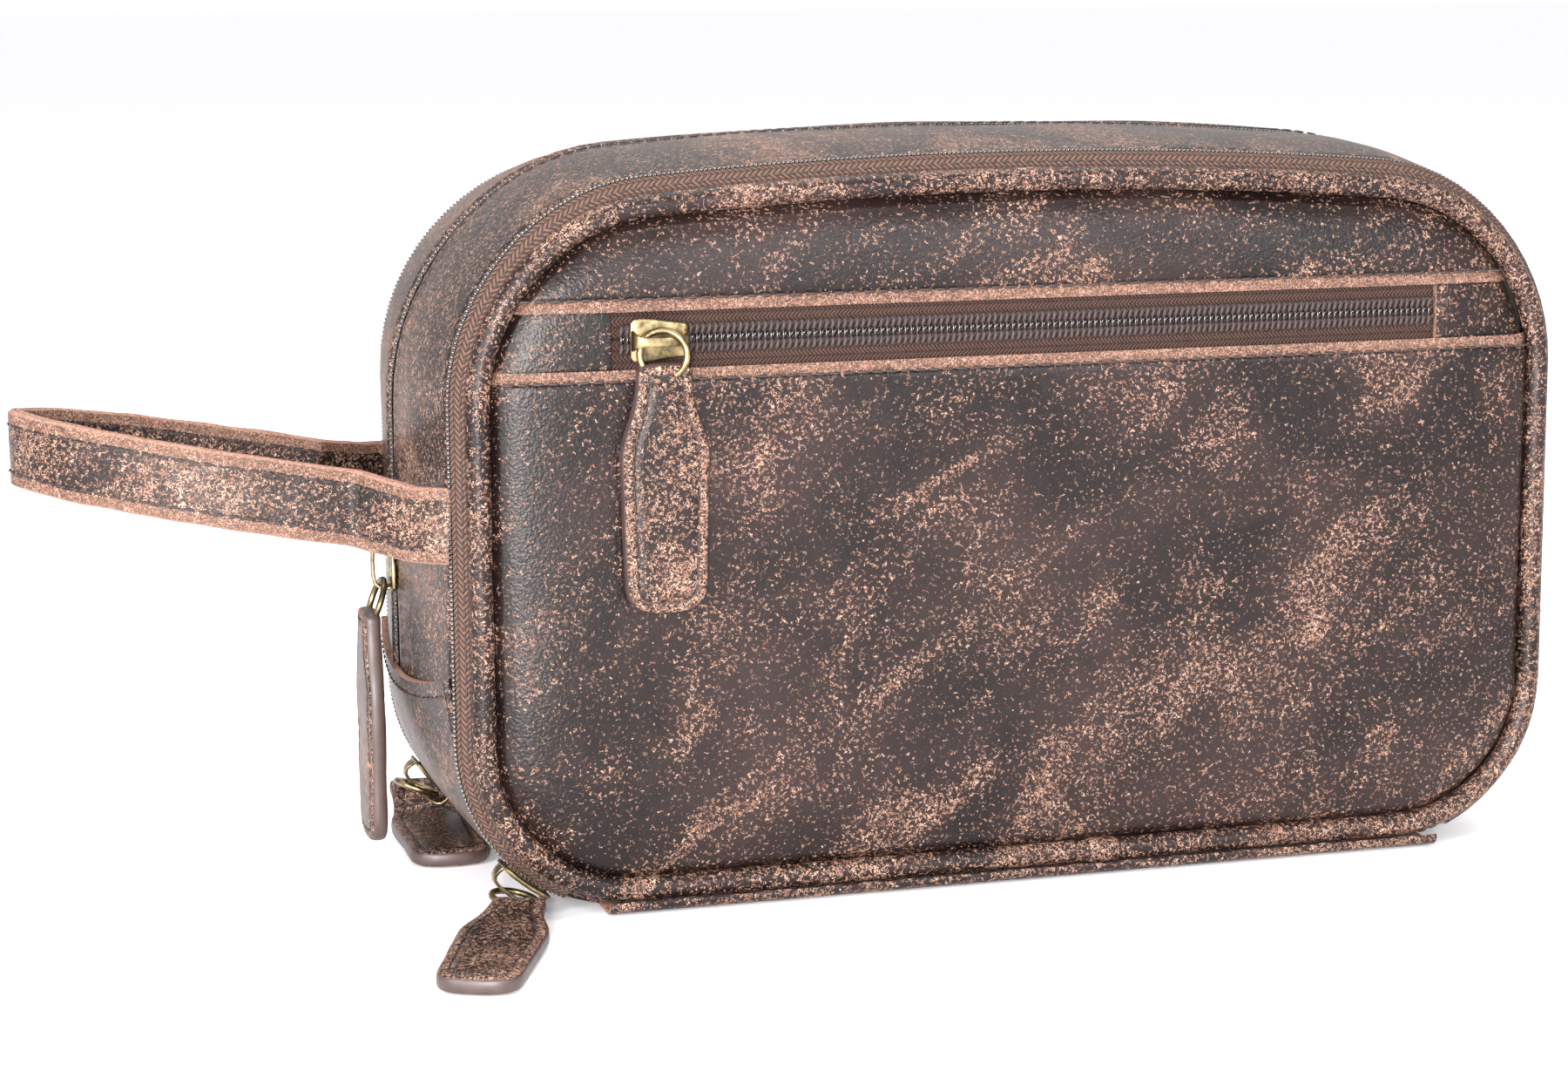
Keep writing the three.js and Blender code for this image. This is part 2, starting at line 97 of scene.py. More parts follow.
class Nodes:
    """A short way to write the node tree of one material."""

    def __init__(self, name):
        self.material = bpy.data.materials.new(name)
        self.material.use_nodes = True
        self.tree = self.material.node_tree
        self.shader = self.tree.nodes["Principled BSDF"]
        self.object_coords = self.add("ShaderNodeTexCoord").outputs["Object"]
        self.uv = self.tree.nodes["Texture Coordinate"].outputs["UV"]

    def add(self, kind, **values):
        node = self.tree.nodes.new(kind)
        for key, value in values.items():
            setattr(node, key, value)
        return node

    def join(self, source, socket):
        if isinstance(source, bpy.types.NodeSocket):
            self.tree.links.new(source, socket)
        else:
            socket.default_value = source

    def noise(self, scale, detail=2, distortion=0, coords=None, rough=0.5):
        node = self.add("ShaderNodeTexNoise")
        self.join(coords or self.object_coords, node.inputs["Vector"])
        node.inputs["Scale"].default_value = scale
        node.inputs["Detail"].default_value = detail
        node.inputs["Distortion"].default_value = distortion
        node.inputs["Roughness"].default_value = rough
        return node.outputs["Fac"]

    def mapped(self, scale, rotation=(0, 0, 0)):
        node = self.add("ShaderNodeMapping", vector_type="TEXTURE")
        self.join(self.object_coords, node.inputs["Vector"])
        node.inputs["Scale"].default_value = scale
        node.inputs["Rotation"].default_value = rotation
        return node.outputs["Vector"]

    def math(self, operation, a, b=0.0, c=0.0):
        node = self.add("ShaderNodeMath", operation=operation)
        for socket, value in zip(node.inputs, (a, b, c)):
            self.join(value, socket)
        return node.outputs[0]

    def remap(self, value, low, high, to_low=0.0, to_high=1.0):
        node = self.add("ShaderNodeMapRange")
        for key, given in zip(("Value", "From Min", "From Max", "To Min", "To Max"),
                              (value, low, high, to_low, to_high)):
            self.join(given, node.inputs[key])
        return node.outputs["Result"]

    def mix(self, factor, a, b):
        node = self.add("ShaderNodeMix", data_type="RGBA")
        self.join(factor, node.inputs["Factor"])
        self.join(a, node.inputs["A"])
        self.join(b, node.inputs["B"])
        return node.outputs["Result"]

    def bump(self, height, strength, distance):
        node = self.add("ShaderNodeBump")
        self.join(height, node.inputs["Height"])
        node.inputs["Strength"].default_value = strength
        node.inputs["Distance"].default_value = distance
        self.join(node.outputs["Normal"], self.shader.inputs["Normal"])

    def finish(self, color=None, roughness=None, **uniform):
        if color is not None:
            self.join(color, self.shader.inputs["Base Color"])
        if roughness is not None:
            self.join(roughness, self.shader.inputs["Roughness"])
        for key, value in uniform.items():
            self.shader.inputs[key.replace("_", " ")].default_value = value
        return self.material


DARK = srgb(17, 10, 9)
MID = srgb(36, 25, 23)
TAN = srgb(162, 127, 108)
RAW = srgb(124, 91, 76)


def leather(name, wear, dark=DARK, mid=MID, tan=TAN):
    """Oiled leather whose finish is crackled off in fine tan strokes, in clouds and streaks."""
    n = Nodes(name)
    clouds = n.noise(26, detail=4, distortion=0.6, rough=0.6)
    streaks = n.noise(24, detail=4, distortion=0.9, coords=n.mapped((1, 1, 0.38), (0, -0.7, 0)), rough=0.62)
    worn = n.math("MULTIPLY_ADD", streaks, 0.65, n.math("MULTIPLY", clouds, 0.35))
    worn = n.remap(worn, 0.56 - 0.2 * wear, 0.76 - 0.16 * wear)
    patch = n.math("MAXIMUM", worn, n.remap(n.noise(9, detail=1), 0.45, 0.75, 0, 0.35 * wear))
    strokes = n.noise(1650, detail=1, distortion=0.8, rough=0.55)
    width = n.remap(patch, 0, 1, 0.03 + 0.016 * wear, 0.075)
    ridge = n.math("ABSOLUTE", n.math("SUBTRACT", strokes, 0.5))
    stroke = n.remap(ridge, n.math("MULTIPLY", width, 0.45), width, 1, 0)
    threshold = n.remap(patch, 0, 1, 0.66 - 0.13 * wear, 0.4 - 0.05 * wear)
    breaks = n.noise(1150, detail=1, coords=n.mapped((1, 1, 1), (0.9, 0.4, 0.2)))
    gate = n.remap(n.math("SUBTRACT", breaks, threshold), 0, 0.04)
    fleck = n.math("MULTIPLY", stroke, gate)
    ground = n.mix(n.remap(clouds, 0.4, 0.66), dark, mid)
    ground = n.mix(n.math("MULTIPLY", patch, 0.35), ground, mid)
    tint = n.mix(n.remap(n.noise(380, detail=1), 0.35, 0.65), tan, RAW)
    color = n.mix(fleck, ground, tint)
    roughness = n.remap(fleck, 0, 1, 0.25 + 0.15 * wear, 0.8)
    grain = n.noise(1500, detail=2)
    height = n.math("MULTIPLY_ADD", fleck, -0.5, n.math("MULTIPLY", grain, 0.9))
    n.bump(height, 0.6, 0.25 * MM)
    return n.finish(color, roughness, Specular_IOR_Level=0.2)


def plain(name, color, spread, roughness, scale, strength, **uniform):
    """A finely mottled surface: raw hide, thread, board or coil."""
    n = Nodes(name)
    mottle = n.noise(scale, detail=3)
    lighter = tuple(min(1, c * (1 + spread)) for c in color[:3]) + (1,)
    darker = tuple(c * (1 - spread) for c in color[:3]) + (1,)
    n.bump(mottle, strength, 0.2 * MM)
    return n.finish(n.mix(n.remap(mottle, 0.35, 0.65), darker, lighter), roughness, **uniform)


def herringbone(name, color, dark, yarn, rib):
    """Woven zip tape: slanting yarns that turn back at each rib. It reads the piece's own UVs."""
    n = Nodes(name)
    axes = n.add("ShaderNodeSeparateXYZ")
    n.join(n.uv, axes.inputs["Vector"])
    zigzag = n.math("PINGPONG", axes.outputs["Y"], rib)
    phase = n.math("MULTIPLY", n.math("ADD", axes.outputs["X"], zigzag), 2 * math.pi / yarn)
    yarns = n.remap(n.math("SINE", phase), -1, 1)
    ribs = n.remap(zigzag, 0, rib * 0.3, 0, 1)
    weave = n.math("MULTIPLY", yarns, n.math("MULTIPLY_ADD", ribs, 0.8, 0.2))
    fuzz = n.noise(900, detail=2)
    n.bump(n.math("ADD", weave, n.math("MULTIPLY", fuzz, 0.4)), 0.7, 0.2 * MM)
    shade = n.math("MULTIPLY_ADD", fuzz, 0.3, n.math("MULTIPLY", weave, 0.8))
    return n.finish(n.mix(shade, dark, color), 0.9, Specular_IOR_Level=0.15)


def twill(name, color, dark, yarn=0.7 * MM):
    """Plain woven lining cloth."""
    n = Nodes(name)
    axes = n.add("ShaderNodeSeparateXYZ")
    n.join(n.uv, axes.inputs["Vector"])
    rate = 2 * math.pi / yarn
    warp = n.math("SINE", n.math("MULTIPLY", axes.outputs["X"], rate))
    weft = n.math("SINE", n.math("MULTIPLY", axes.outputs["Y"], rate))
    weave = n.remap(n.math("MULTIPLY", warp, weft), -1, 1)
    n.bump(weave, 0.4, 0.1 * MM)
    shade = n.math("MULTIPLY_ADD", n.noise(60, detail=3), 0.5, n.math("MULTIPLY", weave, 0.5))
    return n.finish(n.mix(shade, dark, color), 0.7, Sheen_Weight=0.3)


def antique_brass():
    """Brass darkened in its hollows and rubbed bright."""
    n = Nodes("antique_brass_finish")
    tarnish = n.noise(260, detail=4, rough=0.65)
    color = n.mix(n.remap(tarnish, 0.38, 0.62), srgb(72, 66, 50), srgb(150, 130, 94))
    n.bump(n.noise(1800, detail=2), 0.12, 0.1 * MM)
    return n.finish(color, n.remap(tarnish, 0.3, 0.7, 0.45, 0.26), Metallic=1.0)


PANEL = leather("panel_leather", 0.45)
WORN = leather("worn_leather", 0.8)
RUBBED = leather("rubbed_leather", 1.4)
EDGE_BAND = leather("edge_band_leather", 1.7, srgb(58, 42, 35), srgb(74, 54, 45), srgb(140, 108, 92))
RAW_EDGE = plain("raw_edge", RAW, 0.35, 0.9, 1600, 0.8)
PAINTED_EDGE = plain("painted_edge", srgb(56, 41, 38), 0.15, 0.45, 300, 0.2)
THREAD = plain("thread_painted_glint", srgb(36, 24, 22), 0.25, 0.6, 2500, 0.4)
COIL = plain("coil", srgb(30, 24, 24), 0.2, 0.22, 800, 0.1, Specular_IOR_Level=0.8)
CORD = plain("coil_cord", srgb(46, 34, 32), 0.3, 0.7, 1400, 0.5)
# Pale rods between the covered coil's teeth: its thread, lightened into a painted glint.
PALE_THREAD_PAINTED_GLINT = plain("coil_thread_painted_glint", srgb(150, 140, 132), 0.25, 0.5, 900, 0.2)
TAPE = herringbone("zip_tape_weave", srgb(96, 74, 64), srgb(27, 19, 17), 1.3 * MM, 1.4 * MM)
POCKET_TAPE = herringbone("pocket_tape_weave", srgb(80, 60, 53), srgb(19, 13, 13), 0.9 * MM, 1.2 * MM)
LINING = twill("lining_weave", srgb(92, 74, 62), srgb(46, 37, 32))
BOARD = plain("stiffening_board", srgb(120, 100, 80), 0.1, 0.9, 300, 0.2)
BRASS = antique_brass()


# ---- meshes ------------------------------------------------------------------------------------
@contextmanager
def edited(mesh):
    """The mesh opened for editing, and written back afterwards."""
    work = bmesh.new()
    work.from_mesh(mesh)
    yield work
    work.to_mesh(mesh)
    work.free()


def cap_ends(work, columns):
    """Closes the first and last rings of a tube."""
    work.verts.ensure_lookup_table()
    last = len(work.verts) - columns
    for start in (0, last):
        work.faces.new([work.verts[start + k] for k in range(columns)])


def add_object(name, mesh, materials):
    for material in materials:
        mesh.materials.append(material)
    piece = bpy.data.objects.new(name, mesh)
    bpy.context.scene.collection.objects.link(piece)
    return piece


def smooth(mesh, sharp=0.75):
    """Smooth shading, but for edges that turn by more than sharp radians."""
    with edited(mesh) as work:
        for face in work.faces:
            face.smooth = True
        for edge in work.edges:
            edge.smooth = not edge.is_manifold or edge.calc_face_angle(0) < sharp


def bake(piece, sharp=0.75):
    """Applies the piece's modifiers."""
    graph = bpy.context.evaluated_depsgraph_get()
    mesh = bpy.data.meshes.new_from_object(piece.evaluated_get(graph))
    piece.modifiers.clear()
    piece.data = mesh
    smooth(mesh, sharp)
    return piece


def grid_mesh(name, grid, closed_rows=False, closed_columns=False):
    """A surface through a grid of points, with UVs in metres along rows and columns."""
    rows, columns = grid.shape[:2]
    row_steps = rows if closed_rows else rows - 1
    column_steps = columns if closed_columns else columns - 1
    i, j = np.meshgrid(np.arange(row_steps), np.arange(column_steps), indexing="ij")
    below, beside = (i + 1) % rows, (j + 1) % columns
    here, under = i * columns, below * columns
    faces = np.stack([here + j, under + j, under + beside, here + beside], -1)
    mesh = bpy.data.meshes.new(name)
    mesh.from_pydata(grid.reshape(-1, 3).tolist(), [], faces.reshape(-1, 4).tolist())
    along = np.linalg.norm(np.diff(grid, axis=0, append=grid[:1]), axis=2).mean(1)
    across = np.linalg.norm(np.diff(grid, axis=1, append=grid[:, :1]), axis=2).mean(0)
    u = np.concatenate([[0], np.cumsum(along)])
    v = np.concatenate([[0], np.cumsum(across)])
    corners = np.stack([
        np.stack([u[i], v[j]], -1), np.stack([u[i + 1], v[j]], -1),
        np.stack([u[i + 1], v[j + 1]], -1), np.stack([u[i], v[j + 1]], -1),
    ], 2)
    mesh.uv_layers.new(name="UVMap").data.foreach_set("uv", corners.reshape(-1).astype(np.float32))
    return mesh


def turn_away(mesh, point):
    """Makes an open surface's faces look away from a point."""
    with edited(mesh) as work:
        if sum(f.normal.dot(f.calc_center_median() - point) * f.calc_area() for f in work.faces) < 0:
            bmesh.ops.reverse_faces(work, faces=work.faces)


def ripple(mesh, size, height, seed=0.0):
    """Moves each point along its normal by slow noise, as soft leather does."""
    mesh.update()
    normals = [v.normal.copy() for v in mesh.vertices]
    for vertex, normal in zip(mesh.vertices, normals):
        vertex.co += normal * height * noise.noise(vertex.co / size + Vector((seed, 0, 0)))


def shell(name, mesh, thickness, materials, away=MIDDLE, bevel=0.35 * MM):
    """A skin of that thickness under the surface. materials are its face, its cut edge and its back."""
    turn_away(mesh, away)
    piece = add_object(name, mesh, materials)
    solid = piece.modifiers.new("thickness", "SOLIDIFY")
    solid.thickness = thickness
    solid.offset = -1
    solid.material_offset_rim = 1
    solid.material_offset = 2
    if bevel:
        round_off = piece.modifiers.new("edges", "BEVEL")
        round_off.width = bevel
        round_off.segments = 2
        round_off.limit_method = "ANGLE"
        round_off.angle_limit = 1.0
    return bake(piece)


def closed_solid(name, grid, materials, closed_rows=False, sharp=0.75):
    """A tube through a grid of ring-shaped rows, with its ends capped."""
    mesh = grid_mesh(name, grid, closed_rows, closed_columns=True)
    with edited(mesh) as work:
        if not closed_rows:
            cap_ends(work, grid.shape[1])
        bmesh.ops.recalc_face_normals(work, faces=work.faces)
    smooth(mesh, sharp)
    return add_object(name, mesh, materials)


def frames_along(path, up):
    """Tangent, side and up directions at each point of a path. up is one direction or one for each."""
    tangent = np.gradient(path, axis=0)
    tangent /= np.linalg.norm(tangent, axis=1, keepdims=True) + 1e-12
    up = np.broadcast_to(up, path.shape)
    side = np.cross(tangent, up)
    side /= np.linalg.norm(side, axis=1, keepdims=True) + 1e-12
    return tangent, side, np.cross(side, tangent)


def sweep(path, up, section, scale=None):
    """The grid of a section of (side, up) points swept along a path."""
    _, side, top = frames_along(path, up)
    scale = np.ones(len(path)) if scale is None else scale
    section = np.array(section)
    return (path[:, None] + side[:, None] * section[None, :, :1] * scale[:, None, None]
            + top[:, None] * section[None, :, 1:] * scale[:, None, None])


def circle(radius, steps):
    angles = np.linspace(0, 2 * math.pi, steps, endpoint=False)
    return np.column_stack([radius * np.cos(angles), radius * np.sin(angles)])


def resample(path, pitch, closed=False):
    """Evenly spaced points along a path."""
    if closed:
        path = np.vstack([path, path[:1]])
    lengths = np.concatenate([[0], np.cumsum(np.linalg.norm(np.diff(path, axis=0), axis=1))])
    count = max(2, int(round(lengths[-1] / pitch)))
    places = np.linspace(0, lengths[-1], count + (0 if closed else 1), endpoint=not closed)
    return np.column_stack([np.interp(places, lengths, path[:, k]) for k in range(path.shape[1])])


# A small round-ended rod along X: a stitch, or one tooth of a covered coil.
ROD_RINGS = [(-0.5, 0.25), (-0.42, 0.75), (-0.2, 1), (0.2, 1), (0.42, 0.75), (0.5, 0.25)]
ROD_SIDES = 6


def rods(name, centres, along, across, up, size, materials):
    """Many rods in one mesh. size is their length, width and height."""
    ring = circle(0.5, ROD_SIDES)
    template = np.array([[x, r * y, r * z] for x, r in ROD_RINGS for y, z in ring]) * np.array(size)
    points = (centres[:, None] + template[None, :, :1] * along[:, None]
              + template[None, :, 1:2] * across[:, None] + template[None, :, 2:] * up[:, None])
    one = []
    for start in range(0, len(template) - ROD_SIDES, ROD_SIDES):
        for k in range(ROD_SIDES):
            near, far = start + k, start + (k + 1) % ROD_SIDES
            one.append([near, far, far + ROD_SIDES, near + ROD_SIDES])
    caps = [list(range(ROD_SIDES))[::-1], [len(template) - ROD_SIDES + k for k in range(ROD_SIDES)]]
    faces = []
    for i in range(len(centres)):
        faces += [[k + i * len(template) for k in face] for face in one + caps]
    mesh = bpy.data.meshes.new(name)
    mesh.from_pydata(points.reshape(-1, 3).tolist(), [], faces)
    with edited(mesh) as work:
        bmesh.ops.recalc_face_normals(work, faces=work.faces)
    smooth(mesh, 1.6)
    return add_object(name, mesh, materials)


STITCH_PITCH = 3.2 * MM
STITCH = (2.4 * MM, 0.6 * MM, 0.48 * MM)


def stitches(name, path, up, body):
    """A row of sewing thread along a path that lies on a surface."""
    centres = resample(np.array(path), STITCH_PITCH)
    tangent, side, top = frames_along(centres, np.array(up, float))
    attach(rods(name, centres, tangent, side, top, STITCH, [THREAD]), body)


# ---- the bag's outline -------------------------------------------------------------------------
def corner(x, z, radius, start, end, steps):
    angles = np.radians(np.linspace(start, end, steps + 1))
    return np.column_stack([x + radius * np.cos(angles), z + radius * np.sin(angles)])


def straight(start, end, steps):
    """Points between two ends, both left out."""
    t = np.linspace(0, 1, steps + 1)[1:-1, None]
    return np.array(start) * (1 - t) + np.array(end) * t


def upper_line(inset=0.0, rise=0.0, extra_round=0.0, start=SEAM_Z):
    """From the left seam up, over the top and down to the right seam."""
    half = WIDTH / 2 - inset + rise
    top = SIDE_HEIGHT - inset + rise
    radius = TOP_RADIUS - inset + extra_round
    left = corner(-half + radius, top - radius, radius, 180, 90, 14)
    right = left[::-1] * (-1, 1)
    line = np.vstack([
        [(-half, start)], straight((-half, start), left[0], 14), left, straight(left[-1], right[0], 44),
        right, straight(right[-1], (half, start), 14), [(half, start)],
    ])
    share = np.clip((line[:, 1] - SIDE_HEIGHT / 2) / (SIDE_HEIGHT / 2), 0, 1)
    line[:, 1] += CROWN * share * np.maximum(0, 1 - (line[:, 0] / half) ** 2)
    return line


def lower_line(inset=0.0, rise=0.0, start=SEAM_Z):
    """From the right seam down, under the bottom and up to the left seam."""
    half = WIDTH / 2 - inset
    radius = BOTTOM_RADIUS - inset
    right = corner(half - radius, inset + radius, radius, 0, -90, 14)
    left = right[::-1] * (-1, 1)
    line = np.vstack([
        [(half, start)], straight((half, start), right[0], 4), right, straight(right[-1], left[0], 36),
        left, straight(left[-1], (-half, start), 4), [(-half, start)],
    ])
    bow = rise * np.clip((line[:, 1] - 8 * MM) / (start - 8 * MM), 0, 1)
    line[:, 0] += np.sign(line[:, 0]) * bow
    return line


def closed_line(inset=0.0):
    return np.vstack([upper_line(inset), lower_line(inset)[1:-1]])


def zip_line(inset, end=ZIP_END):
    """Round from the bottom left corner, over the top, to the bottom right corner."""
    radius = BOTTOM_RADIUS - inset
    left = corner(CORNER_X, CORNER_Z, radius, 180 + end, 180, 14)
    right = left[::-1] * (-1, 1)
    return np.vstack([left, upper_line(inset)[1:-1], right])


def at_depth(line, y):
    return np.column_stack([line[:, 0], np.full(len(line), y), line[:, 1]])


def belly(y):
    """How far the walls stand out, and how much rounder the top corners are, at a depth."""
    share = 1 - (y / ZIP_PLANE) ** 2
    return SWELL * share, EXTRA_ROUND * share


def outward(line3):
    """Directions out of the outline at each point of a path round the bag."""
    tangent = np.gradient(line3, axis=0)
    out = np.cross(tangent, (0, 1, 0))
    out /= np.linalg.norm(out, axis=1, keepdims=True)
    return out * np.sign(np.sum(out * (line3 - np.array(MIDDLE)), axis=1, keepdims=True))


SPINE = 62 * MM  # half the length of the line that a filled outline closes on
SPINE_STEP = 6 * MM  # the upper and lower halves meet on it at these steps
SPINE_DEPTH = 40 * MM  # how much further in it counts as lying than the last ring


def filled(depth, rings):
    """A grid of rings that fills the outline. depth(inset) is how far out each ring lies."""
    deepest = rings[-1]
    inner = closed_line(deepest)
    grid = [at_depth(closed_line(r), depth(r)) for r in rings]
    spine_x = np.round(np.clip(inner[:, 0], -SPINE, SPINE) / SPINE_STEP) * SPINE_STEP
    spine = np.column_stack([spine_x, np.full(len(inner), MIDDLE.z)])
    for t in np.linspace(0, 1, 20)[1:]:
        line = inner * (1 - t) + spine * t
        grid.append(at_depth(line, depth(deepest + t * SPINE_DEPTH)))
    return np.array(grid)


def merged(mesh, distance=0.05 * MM):
    """Joins points that fall together."""
    with edited(mesh) as work:
        bmesh.ops.remove_doubles(work, verts=work.verts, dist=distance)
        bmesh.ops.dissolve_degenerate(work, edges=work.edges, dist=0.01 * MM)
    return mesh


def keep_between(mesh, axis, low, high):
    """Cuts a surface off outside two places along an axis."""
    direction = Vector([float(k == axis) for k in range(3)])
    with edited(mesh) as work:
        for place, sign in ((low, -1), (high, 1)):
            whole = work.verts[:] + work.edges[:] + work.faces[:]
            bmesh.ops.bisect_plane(work, geom=whole, plane_co=direction * place,
                                   plane_no=direction * sign, clear_outer=True)
    return mesh


# ---- flap faces --------------------------------------------------------------------------------
FAR = 1.0  # past every edge of the bag
LIP = 2.5 * MM  # the width of the rubbed border at the pocket's edges
LIP_ROLL = 1.2 * MM  # where that border bulges most
LEATHER_LOOK = [PANEL, RAW_EDGE, RAW_EDGE]
LIP_LOOK = [PANEL, RAW_EDGE, RAW_EDGE, EDGE_BAND]
PANEL_RINGS = [x * MM for x in (7.6, 8.0, 8.6, 9.2, 9.8, 10.6, 11.5, 12.6, 14, 16, 18.5, 22, 27)]
# Inset from the outline and height over the face, in mm.
PANEL_PROFILE = ((7.6, -4.4), (8.3, -3.8), (9.0, -2.5), (9.8, -1.7), (11.5, -0.95), (14, -0.3), (18, 0.3),
                 (22, 0.65), (27, 0.85), (60, 0.85))


def puff(side, extra=0.0):
    """The face curves in behind the piping and stands a little proud in the middle."""
    insets, heights = np.array(PANEL_PROFILE).T * MM

    def depth(inset):
        return side * (FACE + extra + np.interp(inset, insets, heights))

    return depth


def panel_surface(name, side, extra=0.0):
    grid = filled(puff(side, extra), PANEL_RINGS)
    mesh = merged(grid_mesh(name, grid, closed_columns=True))
    ripple(mesh, 34 * MM, 0.45 * MM, seed=side * 3)
    return mesh


def lipped(mesh, z, inward):
    """Marks off the rubbed border between a lip's cut edge and its stitching, which pulls in a groove."""
    with edited(mesh) as work:
        for place in (0.5, 1.5, 2.2, 2.5, 2.8, 3.6):
            whole = work.verts[:] + work.edges[:] + work.faces[:]
            level = z + inward * place * MM
            bmesh.ops.bisect_plane(work, geom=whole, plane_co=(0, 0, level), plane_no=(0, 0, 1))
        for face in work.faces:
            if inward * (face.calc_center_median().z - z) < LIP:
                face.material_index = LIP_LOOK.index(EDGE_BAND)
        for vertex in work.verts:
            reach = inward * (vertex.co.z - z)
            groove = 0.35 * MM * max(0, 1 - abs(reach - LIP) / (0.7 * MM))
            bulge = 0.25 * MM * max(0, 1 - abs(reach - LIP_ROLL) / MM)
            vertex.co.y += groove - bulge
    return mesh


upper = lipped(keep_between(panel_surface("upper_face", -1), 2, LIP_TOP, FAR), LIP_TOP, 1)
upper = shell("upper_face", upper, LEATHER, LIP_LOOK)
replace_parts(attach(upper, "front_flap"), "front_upper_panel")

lower = lipped(keep_between(panel_surface("lower_face", -1), 2, -FAR, LIP_BOTTOM), LIP_BOTTOM, -1)
lower = shell("lower_face", lower, LEATHER, LIP_LOOK)
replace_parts(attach(lower, "front_flap"), "front_lower_panel")

back = shell("back_face", panel_surface("back_face", 1), LEATHER, LEATHER_LOOK)
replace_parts(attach(back, "back_flap"), "back_panel")

for name, low, high in (("left", -FAR, WINDOW[0]), ("right", WINDOW[1], FAR)):
    tab = panel_surface(f"tab_{name}", -1, -1.6 * MM)
    tab = keep_between(tab, 2, LIP_BOTTOM - 2 * MM, LIP_TOP + 2 * MM)
    tab = keep_between(tab, 0, low, high)
    tab = shell(f"tab_{name}", tab, LEATHER, LEATHER_LOOK)
    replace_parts(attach(tab, "front_flap"), f"pocket_tab_{name}")
    edge = high if name == "left" else low
    inside = -2.6 * MM if name == "left" else 2.6 * MM
    tab_seam = [(edge + inside, -FACE + 1.0 * MM, z) for z in (LIP_BOTTOM + MM, LIP_TOP - MM)]
    stitches(f"tab_{name}_stitches", tab_seam, (0, -1, 0), "front_flap")


def face_stitches(name, z, half_width):
    """A sewn line across the front face."""
    xs = np.linspace(-half_width, half_width, 60)
    edge = np.clip((half_width - np.abs(xs)) / (20 * MM), 0, 1)
    path = [(x, -FACE - (0.15 + 1.0 * e) * MM, z) for x, e in zip(xs, edge)]
    stitches(name, path, (0, -1, 0), "front_flap")


face_stitches("upper_lip_stitches", LIP_TOP + 2.6 * MM, 112 * MM)
face_stitches("lower_lip_stitches", LIP_BOTTOM - 2.4 * MM, 116 * MM)


# ---- piping, flap tapes and covered coils ------------------------------------------------------
def add_piping(where, side):
    path = resample(at_depth(closed_line(PIPING_INSET), side * PIPING_Y), 2.2 * MM, closed=True)
    wobble = np.array([1 + 0.05 * noise.noise(Vector(p) / (9 * MM)) for p in path])
    tangent = np.roll(path, -1, axis=0) - np.roll(path, 1, axis=0)
    out = np.cross(tangent, (0, 1, 0))
    out /= np.linalg.norm(out, axis=1, keepdims=True)
    ring = circle(PIPING_RADIUS, 18)
    grid = (path[:, None] + out[:, None] * (ring[None, :, :1] * wobble[:, None, None])
            + np.array((0, 1, 0)) * (ring[None, :, 1:] * wobble[:, None, None]))
    piping = closed_solid(f"{where}_piping_roll", grid, [WORN], closed_rows=True)
    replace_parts(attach(piping, FLAP[where]), f"{where}_piping")
    lap = np.array([(x, side * PIPING_Y, PIPING_INSET) for x in np.linspace(13, 21, 9) * MM])
    swell = np.array([0.9, 1.07, 1.12, 1.12, 1.12, 1.12, 1.12, 1.07, 0.9])
    lap_grid = sweep(lap, (0, 0, 1), circle(PIPING_RADIUS, 18), swell)
    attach(closed_solid(f"{where}_piping_lap", lap_grid, [RUBBED]), FLAP[where])
    groove = at_depth(closed_line(2.0 * MM), side * (ZIP_PLANE + 4.15 * MM))
    groove = resample(groove, 2.8 * MM, closed=True)
    tangent, across, _ = frames_along(groove, (0, side, 0))
    sewn = rods(f"{where}_piping_stitches", groove, tangent, across, np.cross(across, tangent),
                (2.1 * MM, 0.55 * MM, 0.5 * MM), [THREAD])
    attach(sewn, FLAP[where])


# Each band is a run of (depth beyond the zip's middle plane, inset) across the tape, in mm.
# Depth from the zip's middle and inset from the outline, in mm, across each tape.
FLAP_BAND = ((1.1, 1.4), (1.2, 0.6), (1.5, 0.25), (2.0, 0.3), (2.6, 0.7), (3.4, 1.3), (4.2, 2.1), (4.8, 3.0),
             (5.2, 4.0))
BODY_BAND = ((-0.6, 1.6), (-0.9, 1.5), (-1.4, 1.6), (-2.4, 1.8), (-4.5, 1.9), (-6, 1.9))


TAPE_THICKNESS = 0.5 * MM
COIL_INSET = 0.15 * MM
COIL_OFFSET = 0.6 * MM  # from the middle of a zip to one row of its teeth
TOOTH = (1.2 * MM, 0.62 * MM, 0.8 * MM)
TOOTH_PITCH = 1.0 * MM
# Size of the pale rods between covered teeth: their thread, painted as a glint.
GLINT = (0.5 * MM, 0.3 * MM, 0.4 * MM)


def across_lines(lines):
    """A grid whose columns are the given lines."""
    return np.array(lines).transpose(1, 0, 2)


def add_tape(name, grid, body, node):
    tape = shell(name, grid_mesh(name, grid), TAPE_THICKNESS, [TAPE] * 3, bevel=0)
    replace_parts(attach(tape, body), node)


def band_grid(side, run):
    return across_lines([at_depth(zip_line(inset * MM), side * (ZIP_PLANE + depth * MM))
                         for depth, inset in run])


